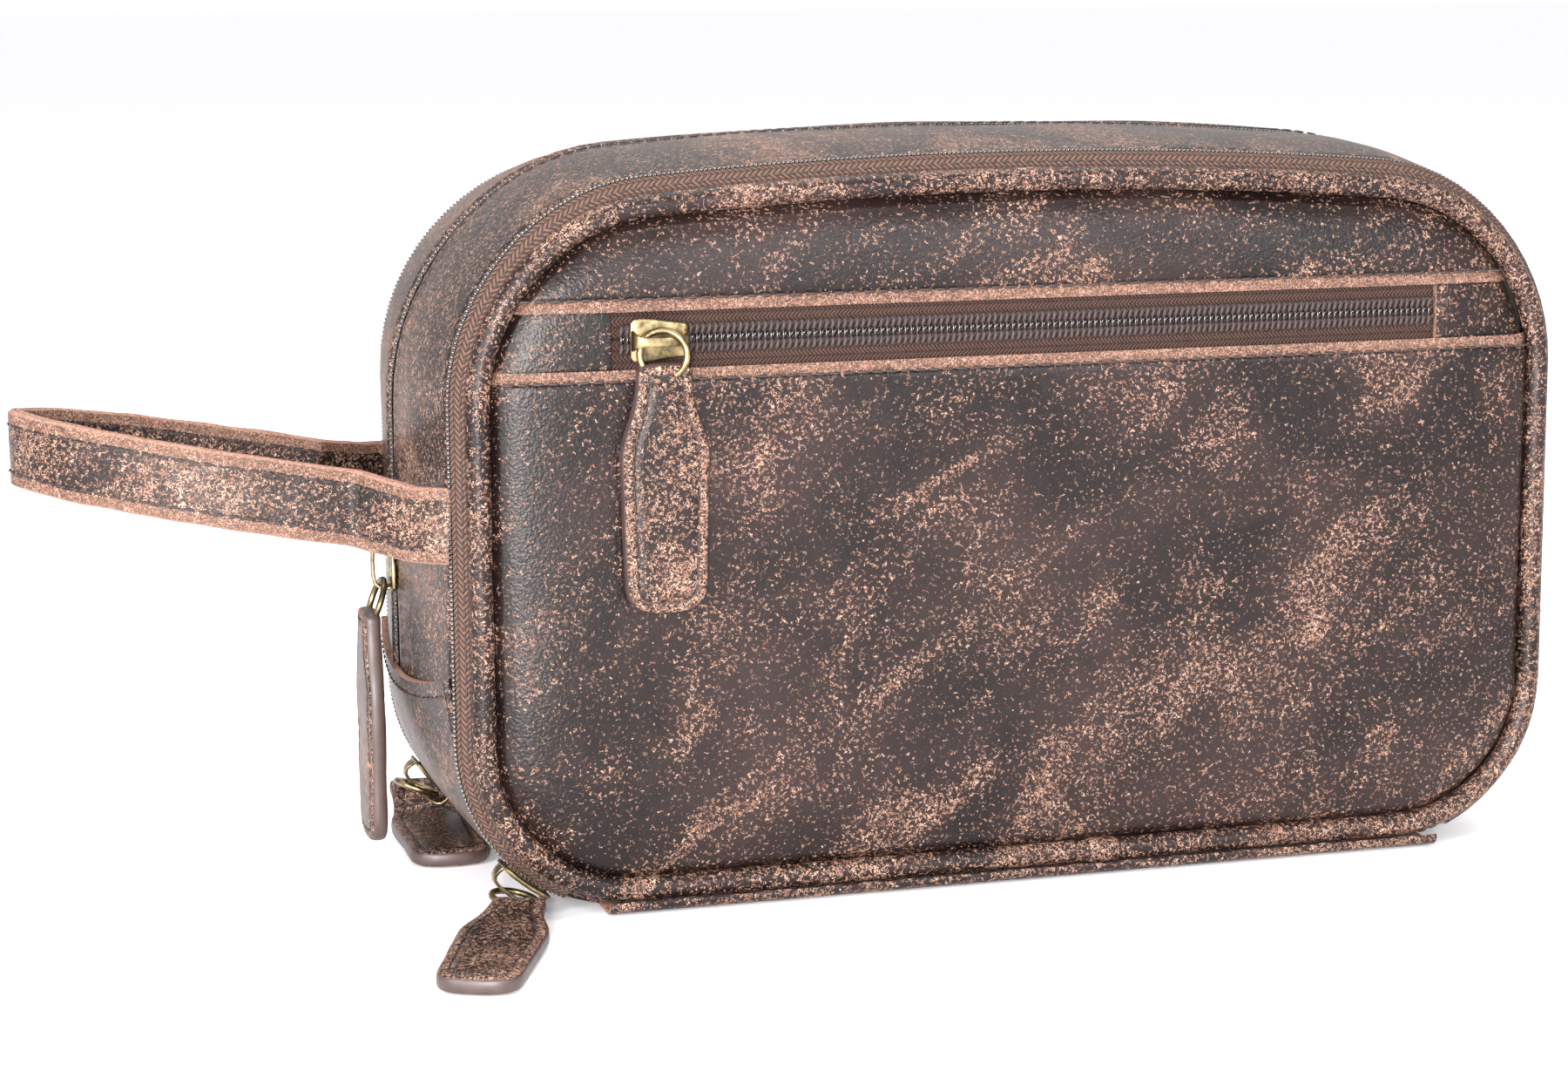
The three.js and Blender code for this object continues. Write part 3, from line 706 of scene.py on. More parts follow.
def covered_coil(node, line3, side, body):
    """The row of teeth seen through the edge of a reverse coil zip, with pale rods between them: the coil's
    thread, coloured pale as a painted glint of the teeth.
    """
    centres = resample(line3, TOOTH_PITCH)
    tangent, _, _ = frames_along(centres, (0, 1, 0))
    out = outward(centres)
    across = np.cross(tangent, out)
    teeth = rods(f"{node}_teeth", centres, across, tangent, out, TOOTH, [COIL])
    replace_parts(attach(teeth, body), node)
    # Pale rods between the teeth: the coil's thread, coloured as a painted glint.
    between = centres[:-1] + (centres[1:] - centres[:-1]) / 2
    between += across[:-1] * side * 0.25 * MM + out[:-1] * 0.1 * MM
    thread_painted_glint = rods(f"{node}_thread", between, across[:-1], tangent[:-1], out[:-1], GLINT, [PALE_THREAD_PAINTED_GLINT])
    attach(thread_painted_glint, body)


def add_flap_zip(where, side):
    add_tape(f"{where}_outer_tape", band_grid(side, FLAP_BAND), FLAP[where], f"{where}_flap_tape")
    add_tape(f"{where}_inner_tape", band_grid(side, BODY_BAND), HALF[where], f"{where}_body_tape")
    for sign, body, node in ((1, FLAP[where], "flap_coil"), (-1, HALF[where], "body_coil")):
        line = at_depth(zip_line(COIL_INSET), side * (ZIP_PLANE + sign * COIL_OFFSET))
        covered_coil(f"{where}_{node}", line, side * sign, body)


for where, side in SIDES.items():
    add_piping(where, side)
    add_flap_zip(where, side)


# ---- gussets, main zip and bottom --------------------------------------------------------------
EDGE_Y = ZIP_PLANE - 1.0 * MM
GUSSET_FOOT = 43 * MM


def wall_line(y, inset=0.0, start=SEAM_Z):
    """The line up one end wall, over the top and down the other, at a depth."""
    rise, extra_round = belly(y)
    return at_depth(upper_line(inset, rise, extra_round, start), y)


def gusset_grid(stations):
    """stations are (depth, extra inset)."""
    return across_lines([wall_line(y, inset, GUSSET_FOOT) for y, inset in stations])


def folded_edge(y, direction, reach):
    """Stations where leather folds under at its edge. direction points off the edge."""
    fold = ((-2.2, 0.0), (-1.2, 0.05), (-0.5, 0.3), (-0.1, 0.8), (0, reach))
    return [(y + direction * depth * MM, inset * MM) for depth, inset in fold]


def add_gusset(name, low_edge, high_edge, body, node, seed):
    middle = [(y, 0.0) for y in np.linspace(low_edge[-1][0] + 3 * MM, high_edge[-1][0] - 3 * MM, 12)]
    mesh = grid_mesh(name, gusset_grid(low_edge[::-1] + middle + high_edge))
    ripple(mesh, 30 * MM, 0.5 * MM, seed)
    piece = shell(name, mesh, LEATHER, [WORN, RAW_EDGE, LINING])
    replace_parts(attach(piece, body), node)


front_edge = folded_edge(-EDGE_Y, -1, 1.5)
main_edge = folded_edge(MAIN_ZIP_Y - 1.3 * MM, 1, 1.5)
add_gusset("front_wall", front_edge, main_edge, "bag_front", "front_gusset", 1.0)
REAR_LIP = ((4.6, -0.1), (3.2, -0.5), (2.0, -0.6), (1.3, -0.2), (1.1, 0.5))
rear_lip = [(MAIN_ZIP_Y + depth * MM, inset * MM) for depth, inset in REAR_LIP]
add_gusset("rear_wall", rear_lip, folded_edge(EDGE_Y, 1, 1.5), "bag_rear", "rear_gusset", 5.0)


def main_line(depth, inset):
    """A line along the main zip, at a depth from its middle."""
    return wall_line(MAIN_ZIP_Y + depth, inset, GUSSET_FOOT + 6 * MM)


MAIN_BAND = ((0.5, 1.7), (0.9, 1.6), (1.4, 1.7), (2.2, 1.9), (6, 2.2), (9, 2.2))
for half, sign, body, seam_depth in (("front", -1, "bag_front", -3.6), ("rear", 1, "bag_rear", 3.4)):
    grid = across_lines([main_line(sign * depth * MM, inset * MM) for depth, inset in MAIN_BAND])
    add_tape(f"main_{half}_band", grid, body, f"main_{half}_tape")
    covered_coil(f"main_{half}_coil", main_line(sign * COIL_OFFSET, COIL_INSET), sign, body)
    path = wall_line(MAIN_ZIP_Y + seam_depth * MM, -0.35 * MM)
    stitches(f"{half}_seam_stitches", resample(path, 2 * MM), outward(resample(path, STITCH_PITCH)), body)


def lap_height(y):
    """Where the bottom panel's lap over a wall ends, at a depth."""
    return (46.5 + 5 * (abs(y) / (38 * MM)) ** 2) * MM


def bottom_grid():
    """The bottom panel laps over the foot of each wall, highest at the front and back."""
    lines = []
    ys = np.concatenate([[-38.9, -38.6], np.linspace(-37.5, 37.5, 22), [38.6, 38.9]]) * MM
    for y in ys:
        rise, _ = belly(min(abs(y), 38 * MM))
        top = lap_height(y)
        turn_in = 1.2 * MM if abs(y) > 38.8 * MM else 0
        line = lower_line(turn_in, rise, start=top)
        lip = np.clip((line[:, 1] - top + 14 * MM) / (14 * MM), 0, 1)
        line[:, 0] += np.sign(line[:, 0]) * lip * 1.5 * MM
        lines.append(at_depth(line, y))
    return across_lines(lines)


bottom_mesh = grid_mesh("bottom_leather", bottom_grid())
for vertex in bottom_mesh.vertices:
    if vertex.co.z > 6 * MM:
        vertex.co.x += 0.35 * MM * noise.noise(vertex.co / (22 * MM))
bottom = shell("bottom_leather", bottom_mesh, LEATHER, [WORN, RAW_EDGE, LINING])
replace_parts(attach(bottom, "bag_front"), "bottom_panel")

for name, sign in (("left", -1), ("right", 1)):
    ys = np.linspace(-36, 36, 30) * MM
    path = []
    for y in ys:
        rise, _ = belly(y)
        path.append((sign * (WIDTH / 2 + rise * 0.93 + 1.35 * MM), y, lap_height(y) - 3.4 * MM))
    stitches(f"{name}_lip_stitches", path, (sign, 0, 0), "bag_front")


# ---- leather hinges under the flaps ------------------------------------------------------------
# Depth and height in mm, from under the bottom panel to the foot of the flap.
HINGE_RUN = ((32, 0.35), (36, 0.3), (40, 0.3), (44, 0.3), (46.5, 0.35), (48, 0.7), (48.9, 1.5), (49.2, 2.4),
             (48.9, 3.1))
HINGE_SPLIT = 3  # the column of HINGE_RUN where the fixed part ends and the bending part begins


def hinge_part(name, grid):
    return shell(name, grid_mesh(name, grid), 0.9 * MM, [WORN, RAW_EDGE, RAW_EDGE],
                 away=Vector((0, 0, 40 * MM)), bevel=0.2 * MM)


for where, side in SIDES.items():
    grid = []
    for x in np.linspace(-96, 98, 100) * MM:
        row = [(x, side * y * MM, z * MM) for y, z in HINGE_RUN]
        nibble = 0.5 * MM * noise.noise(Vector((x / (4 * MM), side, 0)))
        row[-1] = (x, row[-1][1], row[-1][2] + nibble)
        grid.append(row)
    grid = np.array(grid)
    root = hinge_part(f"{where}_hinge_root", grid[:, :HINGE_SPLIT + 1])
    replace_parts(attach(root, "bag_front"), f"{where}_hinge_patch")
    strip = hinge_part(f"{where}_hinge_strip", grid[:, HINGE_SPLIT:])
    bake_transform(strip)


# ---- pocket zip --------------------------------------------------------------------------------
def tape_strip(name, z_near, z_far, y, node):
    """A flat woven tape across the pocket window."""
    xs = np.linspace(-103, 104, 90) * MM
    zs = np.linspace(z_near, z_far, 8)
    dip = [0.5 * MM, 0.15 * MM] + [0.0] * 6
    grid = np.array([[(x, y + d, z) for z, d in zip(zs, dip)] for x in xs])
    mesh = grid_mesh(name, grid)
    ripple(mesh, 18 * MM, 0.15 * MM)
    tape = shell(name, mesh, 0.6 * MM, [POCKET_TAPE] * 3, bevel=0)
    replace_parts(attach(tape, "front_flap"), node)


def coil_turns(name, z, half_width, radius, front, slant, material):
    """A flattened helix of wire or thread, whose turns lean by slant."""
    turns, steps = 138, 12
    t = np.linspace(0, turns, turns * steps + 1)
    angle = 2 * math.pi * t
    swing = np.cos(angle)
    path = np.column_stack([
        -92 * MM + t * 186 * MM / turns + slant * swing,
        -FACE + front + 0.55 * MM - 0.55 * MM * np.sin(angle),
        z + half_width * swing,
    ])
    grid = sweep(path, (0, -1, 0), circle(radius, 6))
    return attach(closed_solid(name, grid, [material], sharp=2), "front_flap")


for name, sign in (("upper", 1), ("lower", -1)):
    tape_strip(f"pocket_{name}_tape", POCKET_Z + sign * 0.12 * MM, POCKET_Z + sign * 10.5 * MM,
               -FACE + 2.9 * MM, f"pocket_tape_{name}")
    row_z = POCKET_Z + sign * 1.95 * MM
    row = coil_turns(f"pocket_{name}_cord", row_z, 0.9 * MM, 0.42 * MM, 0.65 * MM, 0.45 * MM, CORD)
    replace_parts(row, f"pocket_coil_{name}")
coil_turns("pocket_hooks", POCKET_Z, 0.95 * MM, 0.27 * MM, 0.75 * MM, 0.3 * MM, COIL)


# ---- linings and boards ------------------------------------------------------------------------
def flat_fill(name, inset, y, wave, seed):
    """A flat sheet inside the outline, with slow waves."""
    rings = [(inset + k) * MM for k in (0, 0.6, 1.5, 3, 5, 8, 12, 17, 23)]
    mesh = merged(grid_mesh(name, filled(lambda _: y, rings), closed_columns=True))
    ripple(mesh, 26 * MM, wave, seed)
    return mesh


def add_cloth(name, mesh, body, nodes):
    piece = add_object(name, mesh, [LINING])
    smooth(mesh)
    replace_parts(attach(piece, body), *nodes)


FLAP_CLOTH_INSET = 8.4
WALL_CLOTH_INSET = 5.4
BOARD_INSET = 8.6
DIVIDER = {"front": "front_divider", "back": "rear_divider"}
BOARD_Y = {"front": -FACE + 7.2 * MM, "back": FACE - 2.6 * MM}

for where, side in SIDES.items():
    name = f"{where}_flap_cloth"
    cloth = flat_fill(name, FLAP_CLOTH_INSET, side * (ZIP_PLANE + 0.55 * MM), 0.15 * MM, side)
    add_cloth(name, cloth, FLAP[where], [f"{where}_flap_lining"])
    name = f"{where}_wall_cloth"
    wall = flat_fill(name, WALL_CLOTH_INSET, side * 25.4 * MM, 0.5 * MM, side + 4)
    add_cloth(name, wall, HALF[where], [DIVIDER[where]])
    board = flat_fill(f"{where}_board", BOARD_INSET, BOARD_Y[where], 0.0, 0)
    board = shell(f"{where}_board", board, 0.8 * MM, [BOARD] * 3, bevel=0)
    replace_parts(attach(board, FLAP[where]), f"{where}_stiffener")

bag_x = np.linspace(-99, 99, 60) * MM
bag_z = np.linspace(46, 142, 30) * MM
bag_grid = np.array([[(x, -FACE + 6.2 * MM, z) for z in bag_z] for x in bag_x])
pocket_cloth = grid_mesh("pocket_cloth", bag_grid)
ripple(pocket_cloth, 24 * MM, 0.25 * MM, 9)
add_cloth("pocket_cloth", pocket_cloth, "front_flap", ["pocket_bag"])

floor_grid = across_lines([at_depth(lower_line(2.4 * MM), y) for y in np.linspace(-24, 24, 14) * MM])
floor_cloth = grid_mesh("floor_cloth", floor_grid)
ripple(floor_cloth, 20 * MM, 0.3 * MM, 12)
add_cloth("floor_cloth", floor_cloth, "bag_front", ["main_lining"])


# ---- wrist strap -------------------------------------------------------------------------------
STRAP_WIDTH = 16 * MM
STRAP_Z = 85 * MM
STRAP_TIP_X = -212 * MM
STRAP_ROOT_X = -WIDTH / 2 - SWELL - 1 * MM
STRAP_SPREAD = 27 * MM
STRAP_RISE = 15 * MM


def strap_route():
    """From the front seam, out round the loop and back to beside the rear wall."""
    angles = np.linspace(-math.pi / 2, math.pi / 2, 90)
    x = STRAP_ROOT_X + (STRAP_TIP_X - STRAP_ROOT_X) * np.cos(angles) ** 0.55
    y = STRAP_SPREAD * np.sign(angles) * np.abs(np.sin(angles)) ** 1.35
    z = STRAP_Z + STRAP_RISE * (STRAP_ROOT_X - x) / (STRAP_ROOT_X - STRAP_TIP_X)
    loop = np.column_stack([x, y, z])
    return loop[loop[:, 0] < -139 * MM]


def strap_grid(path, width, thickness):
    """A flat band of two layers with a shallow groove between them along each edge."""
    half, deep = thickness / 2, width / 2
    edge = [(-1, 0.5), (-0.55, 0), (-0.12, 0.1), (0, 0.4), (0.12, 0.1), (0.55, 0), (1, 0.5)]
    ring = [(share * half, -deep + up * MM) for share, up in edge]
    inner = [(half, z) for z in np.linspace(-deep + 2.5 * MM, deep - 2.5 * MM, 7)]
    section = ring + inner + [(-a, -b) for a, b in ring] + [(-a, -b) for a, b in inner]
    return sweep(resample(path, 1.6 * MM), (0, 0, 1), section)


def strap_mesh(name, path, thickness=3.1 * MM):
    grid = strap_grid(path, STRAP_WIDTH, thickness)
    piece = closed_solid(name, grid, [WORN, RAW_EDGE, EDGE_BAND])
    columns = grid.shape[1]
    for polygon in piece.data.polygons[:-2]:
        column = polygon.vertices[0] % columns
        if column < 6 or 14 <= column < 20:
            polygon.material_index = 1
        elif column % 7 == 6:
            polygon.material_index = 2
    for vertex in piece.data.vertices:
        vertex.co += 0.25 * MM * Vector(noise.noise_vector(vertex.co / (7 * MM)))
    return piece


loop = strap_route()
front_root = np.array([
    (-126.8, -39.4, 84.5), (-128.4, -39.2, 84.6), (-130.4, -38.2, 84.7), (-134, -35.2, 84.8),
]) * MM
rear_root = front_root * (1, -1, 1)
strap_path = resample(np.vstack([front_root, loop]), 1.5 * MM)

strap = strap_mesh("strap_loop_leather", strap_path)
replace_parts(strap, "wrist_strap")
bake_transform(strap)
root_path = np.vstack([loop[-1:] + (-1 * MM, 0, 0), loop[-1:], rear_root[::-1]])
root = strap_mesh("strap_rear_root", resample(root_path, 1.2 * MM), 3.4 * MM)
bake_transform(root)


STRAP_STITCH = (2.3 * MM, 0.55 * MM, 0.45 * MM)


def strap_stitches(name, side, height):
    """A row of stitches on one face of the strap. side is 1 on the outer face and -1 on the inner one."""
    _, across, top = frames_along(strap_path, (0, 0, 1))
    path = strap_path + across * side * 1.62 * MM + top * height
    centres = resample(path[6:-3], 3.1 * MM)
    tangent, normal, up = frames_along(centres, (0, 0, 1))
    piece = rods(name, centres, tangent, up, normal * side, STRAP_STITCH, [THREAD])
    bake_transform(piece)


for height_name, height in (("low", -STRAP_WIDTH / 2 + 3 * MM), ("high", STRAP_WIDTH / 2 - 3 * MM)):
    strap_stitches(f"strap_{height_name}_outer_stitches", 1, height)
    strap_stitches(f"strap_{height_name}_inner_stitches", -1, height)


# ---- sliders, rings and pulls ------------------------------------------------------------------
PLATE_TOP = 1.4 * MM
BAR_HEIGHT = 3.1 * MM
RING_RADIUS = 5 * MM
RING_DROP = 2.7 * MM
RING_TILT = math.radians(26)
PULL_GAP = 1.2 * MM
PULL_LENGTH = 48 * MM
PULL_THICKNESS = 3.6 * MM
PULL_MARGIN = 2.3 * MM
PULL_STITCH = (2.1 * MM, 0.5 * MM, 0.45 * MM)
PULL_LOOK = [WORN, PAINTED_EDGE, RUBBED]


def merged_object(name, parts, materials):
    """Joins closed meshes into one object."""
    mesh = bpy.data.meshes.new(name)
    work = bmesh.new()
    for part in parts:
        work.from_mesh(part)
    bmesh.ops.recalc_face_normals(work, faces=work.faces)
    work.to_mesh(mesh)
    work.free()
    smooth(mesh, 0.7)
    return add_object(name, mesh, materials)


def capped(grid):
    """A closed mesh through a grid of ring-shaped rows."""
    mesh = grid_mesh("part", grid, closed_columns=True)
    with edited(mesh) as work:
        cap_ends(work, grid.shape[1])
    return mesh


def placed(points, place):
    """Local (along, out, across) points put on their zip."""
    flat = points.reshape(-1, 3)
    return np.array([place(*p) for p in flat]).reshape(points.shape)


def rounded_box_section(half_width, low, high, edge=0.35 * MM, steps=3):
    """A closed run of (across, out) points round a rounded rectangle."""
    reach = half_width - edge
    top, bottom = high - edge, low + edge
    centres = [(reach, top, 0), (-reach, top, 90), (-reach, bottom, 180), (reach, bottom, 270)]
    return [point for x, z, start in centres
            for point in corner(x, z, edge, start, start + 90, steps).tolist()]


def slider_plate(low, high, half_nose, half_tail, place):
    """A plate that is widest behind its nose and narrows to its tail, with a rounded rim."""
    profile = [(-6.2, 0.62, 0.25), (-6.0, 0.85, 0.1), (-5.4, 1.0, 0), (-3.5, 1.04, 0), (-1, 0.99, 0),
               (1.5, 0.9, 0), (4, 0.84, 0), (5.5, 0.8, 0), (6.0, 0.7, 0.1), (6.2, 0.5, 0.25)]
    rows = []
    for along, share, thin in profile:
        blend = (along + 6.2) / 12.4
        half = (half_nose * (1 - blend) + half_tail * blend) * share
        cut = thin * (high - low)
        section = rounded_box_section(half, low + cut, high - cut)
        rows.append([(along * MM, out, across) for across, out in section])
    return capped(placed(np.array(rows), place))


def slider_crown(place):
    """The bridge that holds the ring."""
    foot = [(-5.6, 0.9, 2.3), (-5.75, 2.4, 2.0), (-5.5, 3.7, 1.5), (-4.7, 4.5, 1.15), (-3, 4.85, 1.0)]
    arch = np.array(foot + [(0, 4.95, 0.95)] + [(-along, out, half) for along, out, half in foot[::-1]]) * MM
    path, half = arch * (1, 1, 0), arch[:, 2]
    _, side, _ = frames_along(path, (0, 0, 1))
    section = np.array(rounded_box_section(1.0, -0.38, 0.38, 0.25, 2))
    grid = (path[:, None] + np.array((0, 0, 1)) * section[None, :, :1] * half[:, None, None]
            + side[:, None] * section[None, :, 1:] * MM)
    return capped(placed(grid, place))


def slider_web(low, place):
    """The thin wall between a slider's two plates."""
    section = rounded_box_section(0.3 * MM, low, 0.6 * MM, 0.12 * MM, 1)
    rows = [[(along * MM, out, across) for across, out in section] for along in (-4.8, -2, 2, 4.8)]
    return capped(placed(np.array(rows), place))


def add_slider(name, place, inner_top, inner_half, body):
    parts = [
        slider_plate(0.4 * MM, PLATE_TOP, 4.5 * MM, 4.3 * MM, place),
        slider_plate((inner_top - 1.1) * MM, inner_top * MM, inner_half * MM, inner_half * MM * 0.9, place),
        slider_crown(place),
        slider_web((inner_top - 0.4) * MM, place),
    ]
    slider = merged_object(f"{name}_slider_body", parts, [BRASS])
    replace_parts(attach(slider, body), f"{name}_slider")


def unit(vector):
    return Vector(vector).normalized()


def standing(origin, x_axis, z_axis):
    z = unit(z_axis)
    x = (Vector(x_axis) - z * Vector(x_axis).dot(z)).normalized()
    matrix = Matrix((x, z.cross(x), z)).transposed().to_4x4()
    matrix.translation = Vector(origin)
    return matrix


def add_ring(name, origin, x_axis, z_axis, body):
    """A ring of wire that lies in its own XZ plane."""
    angles = np.linspace(0, 2 * math.pi, 56, endpoint=False)
    wire = circle(0.72 * MM, 10)
    hoop = np.array([(math.cos(a), 0, math.sin(a)) for a in angles])
    grid = (hoop[:, None] * (RING_RADIUS + wire[None, :, :1]) + np.array((0, 1, 0)) * wire[None, :, 1:])
    ring = closed_solid(f"{name}_ring_wire", grid, [BRASS], closed_rows=True)
    ring.data.transform(standing(origin, x_axis, z_axis))
    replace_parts(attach(ring, body), f"{name}_ring")


def bezier(a, b, c, d, steps):
    t = np.linspace(0, 1, steps + 1)[:, None]
    a, b, c, d = map(np.array, (a, b, c, d))
    return a * (1 - t) ** 3 + 3 * b * t * (1 - t) ** 2 + 3 * c * t ** 2 * (1 - t) + d * t ** 3


def pull_outline():
    """The bottle shape of a leather pull, hanging down from its neck, as a closed run of (x, z)."""
    end = -PULL_LENGTH / MM
    half = np.vstack([
        bezier((0, 4.4), (-3.6, 4.4), (-5.9, 4.2), (-5.9, 2.6), 8)[:-1],
        bezier((-5.9, 2.6), (-6, -8), (-9.5, -8), (-9.5, -17), 14)[:-1],
        straight((-9.5, -17), (-8.8, end + 7), 10),
        bezier((-8.8, end + 7), (-8.7, end + 1.2), (-6, end), (0, end), 16),
    ]) * MM
    return resample(np.vstack([half, (half * (-1, 1))[::-1][1:-1]]), 0.9 * MM, closed=True)


def inset_outline(outline, distance):
    tangent = np.roll(outline, -1, axis=0) - np.roll(outline, 1, axis=0)
    tangent /= np.linalg.norm(tangent, axis=1, keepdims=True)
    return outline + np.column_stack([-tangent[:, 1], tangent[:, 0]]) * distance


def pull_mesh(name):
    """Two leathers glued back to back with a smooth painted rim."""
    outline = pull_outline()
    half = PULL_THICKNESS / 2
    profile = [(4.6, 0.15), (3.0, 0.1), (2.6, -0.15), (2.2, 0.0), (1.4, 0.0), (0.9, -0.05), (0.7, -0.15),
               (0.35, -0.35), (0.1, -0.8), (0.0, -1.5)]
    rings = [(d * MM, half + h * MM) for d, h in profile]
    rings += [(d, -y) for d, y in rings[::-1]]
    spine = np.column_stack([np.zeros(len(outline)), np.clip(outline[:, 1], -PULL_LENGTH + 7 * MM, 0)])
    grid = [np.column_stack([spine[:, 0], np.full(len(outline), half + 0.2 * MM), spine[:, 1]])]
    for distance, y in rings:
        line = inset_outline(outline, distance)
        grid.append(np.column_stack([line[:, 0], np.full(len(outline), y), line[:, 1]]))
    grid.append(grid[0] * (1, -1, 1))
    mesh = merged(grid_mesh(name, np.array(grid), closed_columns=True), 0.03 * MM)
    with edited(mesh) as work:
        bmesh.ops.recalc_face_normals(work, faces=work.faces)
        for face in work.faces:
            x, y, z = face.calc_center_median()
            if abs(y) < half - 0.1 * MM and abs(face.normal.y) < 0.86:
                face.material_index = PULL_LOOK.index(PAINTED_EDGE)
            elif np.linalg.norm(outline - (x, z), axis=1).min() < PULL_MARGIN:
                face.material_index = PULL_LOOK.index(RUBBED)
    ripple(mesh, 9 * MM, 0.2 * MM, len(name))
    smooth(mesh, 0.9)
    mesh.transform(Matrix.Translation((0, 0, -PULL_GAP)))
    return mesh


def add_pull(name, origin, x_axis, z_axis, body, neck_shift=(0, 0, 0)):
    """neck_shift moves the neck's end, in the pull's own axes, to meet its ring."""
    mesh = pull_mesh(f"{name}_pull_leather")
    outline = resample(inset_outline(pull_outline(), 2.4 * MM), 2.9 * MM, closed=True)
    sewn = []
    for face, sign in (("back", 1), ("face", -1)):
        centres = at_depth(outline - (0, PULL_GAP), sign * (PULL_THICKNESS / 2 - 0.05 * MM))
        tangent, side, top = frames_along(centres, (0, sign, 0))
        sewn.append(rods(f"{name}_pull_stitches_{face}", centres, tangent, side, top, PULL_STITCH, [THREAD]))
    pull = add_object(mesh.name, mesh, PULL_LOOK)
    matrix = standing(origin, x_axis, z_axis)
    for piece in [pull] + sewn:
        for vertex in piece.data.vertices:
            share = min(1, max(0, (vertex.co.z + 11 * MM) / (13 * MM)))
            vertex.co += Vector(neck_shift) * share * share * (3 - 2 * share)
        piece.data.transform(matrix)
        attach(piece, body)
    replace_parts(pull, f"{name}_pull")


def tilted(along, out):
    return unit(along) * math.cos(RING_TILT) + unit(out) * math.sin(RING_TILT)


def flap_place(where):
    turn = math.radians(SLIDER_ANGLE[where])

    def place(along, out, across):
        angle = turn + along / BOTTOM_RADIUS
        radius = BOTTOM_RADIUS + out
        x, z = CORNER_X - radius * math.cos(angle), CORNER_Z - radius * math.sin(angle)
        return (x, SIDES[where] * (ZIP_PLANE + across), z)

    return place, (math.sin(turn), 0, -math.cos(turn)), (-math.cos(turn), 0, -math.sin(turn))


def add_pocket_slider():
    slider_x, plate_y = -84 * MM, -FACE - 0.2 * MM + 0.4 * MM

    def place(along, out, across):
        return (slider_x + along, plate_y - out, POCKET_Z + across)

    add_slider("pocket", place, -4.1 + 1.2, 4.0, "pocket_slider_body")
    bar = Vector(place(0, PLATE_TOP + BAR_HEIGHT, 0))
    ring_centre = bar - Vector((0, 0, RING_DROP))
    add_ring("pocket", ring_centre, tilted((1, 0, 0), (0, -1, 0)), (0, 0, 1), "pocket_ring_body")
    end = bar - Vector((0, 0, RING_DROP + RING_RADIUS))
    add_pull("pocket", end, (1, 0, 0), (0, 0, 1), "pocket_pull_body")


def add_main_slider():
    wall_x = -WIDTH / 2 - belly(MAIN_ZIP_Y)[0]

    def place(along, out, across):
        return (wall_x - out, MAIN_ZIP_Y + across, 70 * MM + along)

    add_slider("main", place, -2.9, 4.0, "main_slider_body")
    top = Vector(place(-5.2 * MM + 1.2 * MM, PLATE_TOP + 1.25 * MM, 0))
    lean = math.radians(20)
    down = Vector((-math.sin(lean), 0, -math.cos(lean)))
    add_ring("main", top + down * RING_RADIUS, (0, 1, 0), -down, "main_ring_body")
    add_pull("main", top + down * 2 * RING_RADIUS, (0, 1, 0), (0, 0, 1), "main_pull_body")


FLAP_PULLS = {
    "front": ((-0.15, -1, 0), (-116.5, -50.3, 3.2), (-0.37, -0.93, -0.02), (0, -0.9, 1.2)),
    "back": ((0.1, 0.9, -0.22), (-118.5, 51, 2.1), (-0.03, -1, 0), (-1.5, -5.8, -2.4)),
}


def add_flap_slider(where):
    place, along, out = flap_place(where)
    ring_direction, pull_start, pull_direction, neck_shift = FLAP_PULLS[where]
    add_slider(where, place, -2.6, 2.6, f"{where}_slider_body")
    bar = Vector(place(0, PLATE_TOP + BAR_HEIGHT, 0))
    down = Vector(ring_direction)
    down = (down - Vector(along) * down.dot(Vector(along))).normalized()
    add_ring(where, bar + down * RING_DROP, tilted(along, -Vector(out)), -down, f"{where}_ring_body")
    add_pull(where, Vector(pull_start) * MM, (1, 0, 0), -Vector(pull_direction), f"{where}_pull_body",
             Vector(neck_shift) * MM)


add_pocket_slider()
add_main_slider()
for where in SIDES:
    add_flap_slider(where)


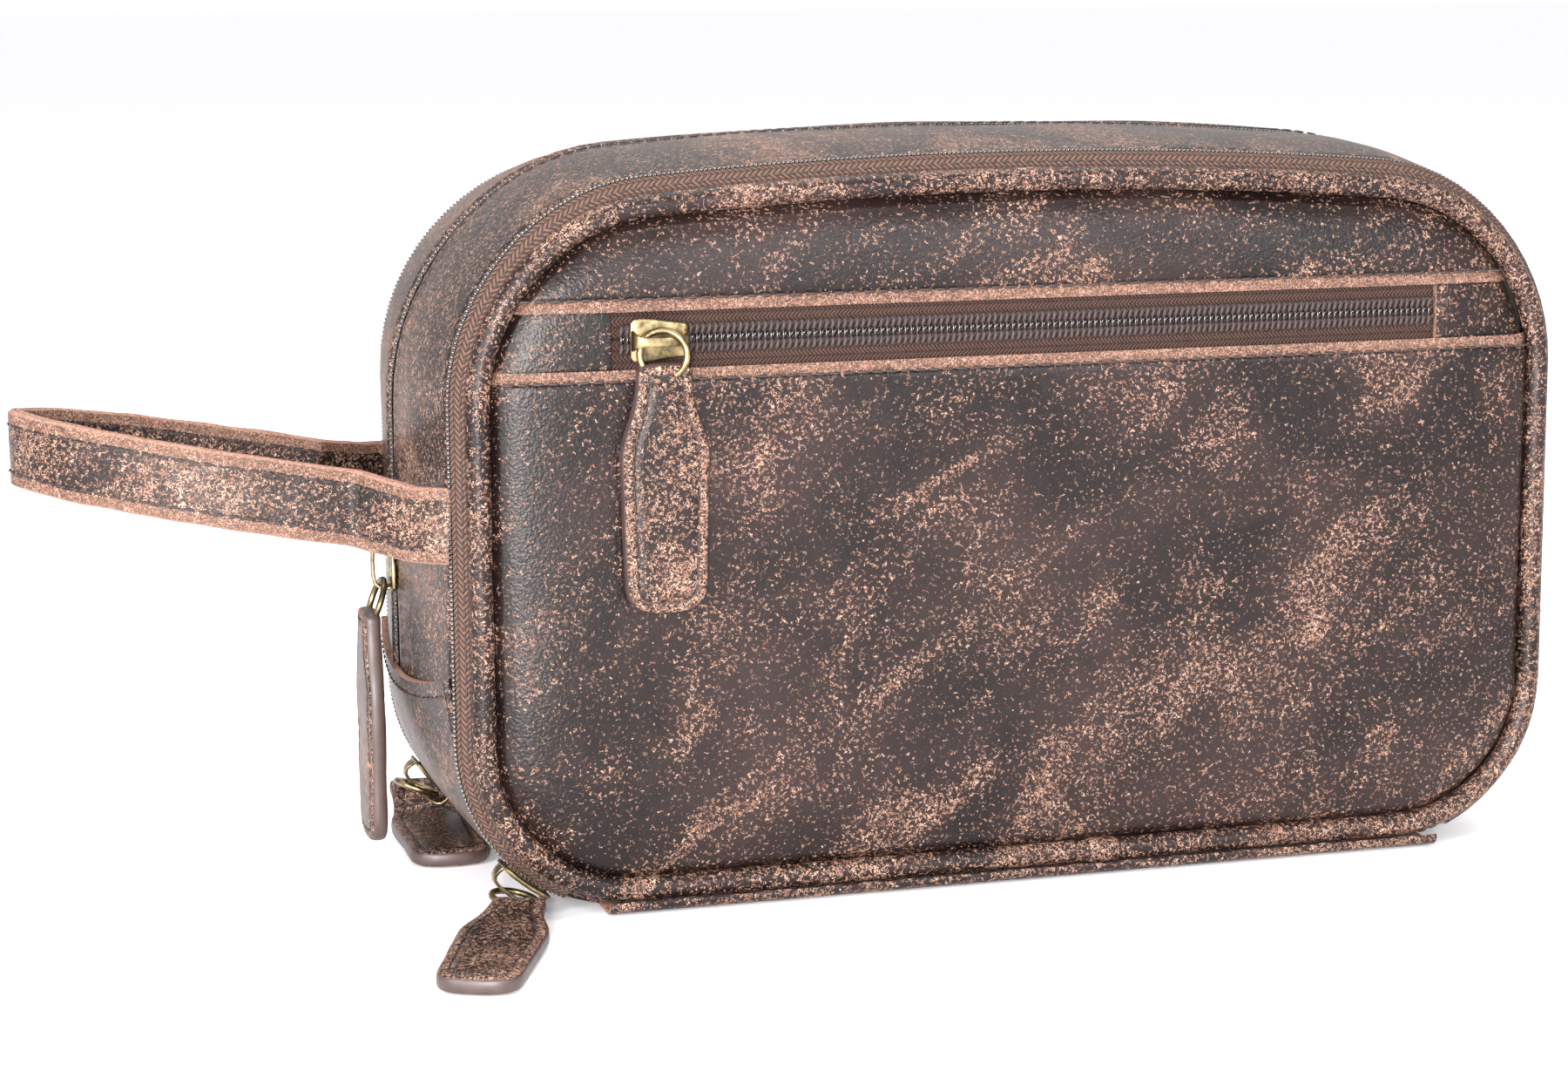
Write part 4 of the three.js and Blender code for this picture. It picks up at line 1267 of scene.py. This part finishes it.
# ---- floor, light and camera -------------------------------------------------------------------
def add_floor():
    mesh = bpy.data.meshes.new("floor")
    reach = 30.0
    corners = [(-reach, -reach, 0), (reach, -reach, 0), (reach, reach, 0), (-reach, reach, 0)]
    mesh.from_pydata(corners, [], [(0, 1, 2, 3)])
    n = Nodes("studio_white")
    mesh.materials.append(n.finish(srgb(250, 249, 252), 0.6))
    floor = bpy.data.objects.new("floor", mesh)
    bpy.context.scene.collection.objects.link(floor)


def add_area_light(name, place, target, size, power, color):
    """A softbox. power is in watts."""
    light = bpy.data.lights.new(name, "AREA")
    light.shape = "RECTANGLE"
    light.size, light.size_y = size
    light.energy = power
    light.color = color
    lamp = bpy.data.objects.new(name, light)
    bpy.context.scene.collection.objects.link(lamp)
    lamp.location = place
    lamp.rotation_euler = (Vector(target) - Vector(place)).to_track_quat("-Z", "Y").to_euler()


def add_camera():
    data = bpy.data.cameras.new("camera")
    data.sensor_width = 36
    data.sensor_fit = "HORIZONTAL"
    data.lens = 76.5
    camera = bpy.data.objects.new("camera", data)
    bpy.context.scene.collection.objects.link(camera)
    forward = Vector((0.27917, 0.94633, -0.16284)).normalized()
    up = Vector((0.05249, 0.15429, 0.98663))
    right = forward.cross(up).normalized()
    turn = Matrix((right, right.cross(forward), -forward)).transposed()
    camera.matrix_world = Matrix.Translation((-0.25406, -0.7168, 0.19468)) @ turn.to_4x4()
    bpy.context.scene.camera = camera


add_floor()
add_area_light("left_window", (-1.2, -0.85, 0.6), (-0.05, 0, 0.08), (0.45, 1.15), 30, (0.98, 0.99, 1.0))
add_area_light("left_strip", (-0.52, -1.35, 0.25), (-0.12, -0.05, 0.06), (0.14, 0.48), 42, (1.0, 0.97, 0.96))
add_area_light("top_box", (0.2, 0.1, 1.5), (0, 0, 0.05), (1.6, 1.2), 26, (1, 1, 1))
add_area_light("front_strip", (0.5, -1.5, 0.5), (0.05, 0, 0.1), (0.7, 0.25), 12, (0.9, 0.94, 1.0))
add_camera()

world = bpy.data.worlds.new("studio")
world.use_nodes = True
world.node_tree.nodes["Background"].inputs["Color"].default_value = (1, 1, 1, 1)
world.node_tree.nodes["Background"].inputs["Strength"].default_value = 1.02
bpy.context.scene.world = world
bpy.context.scene.view_settings.view_transform = "Standard"
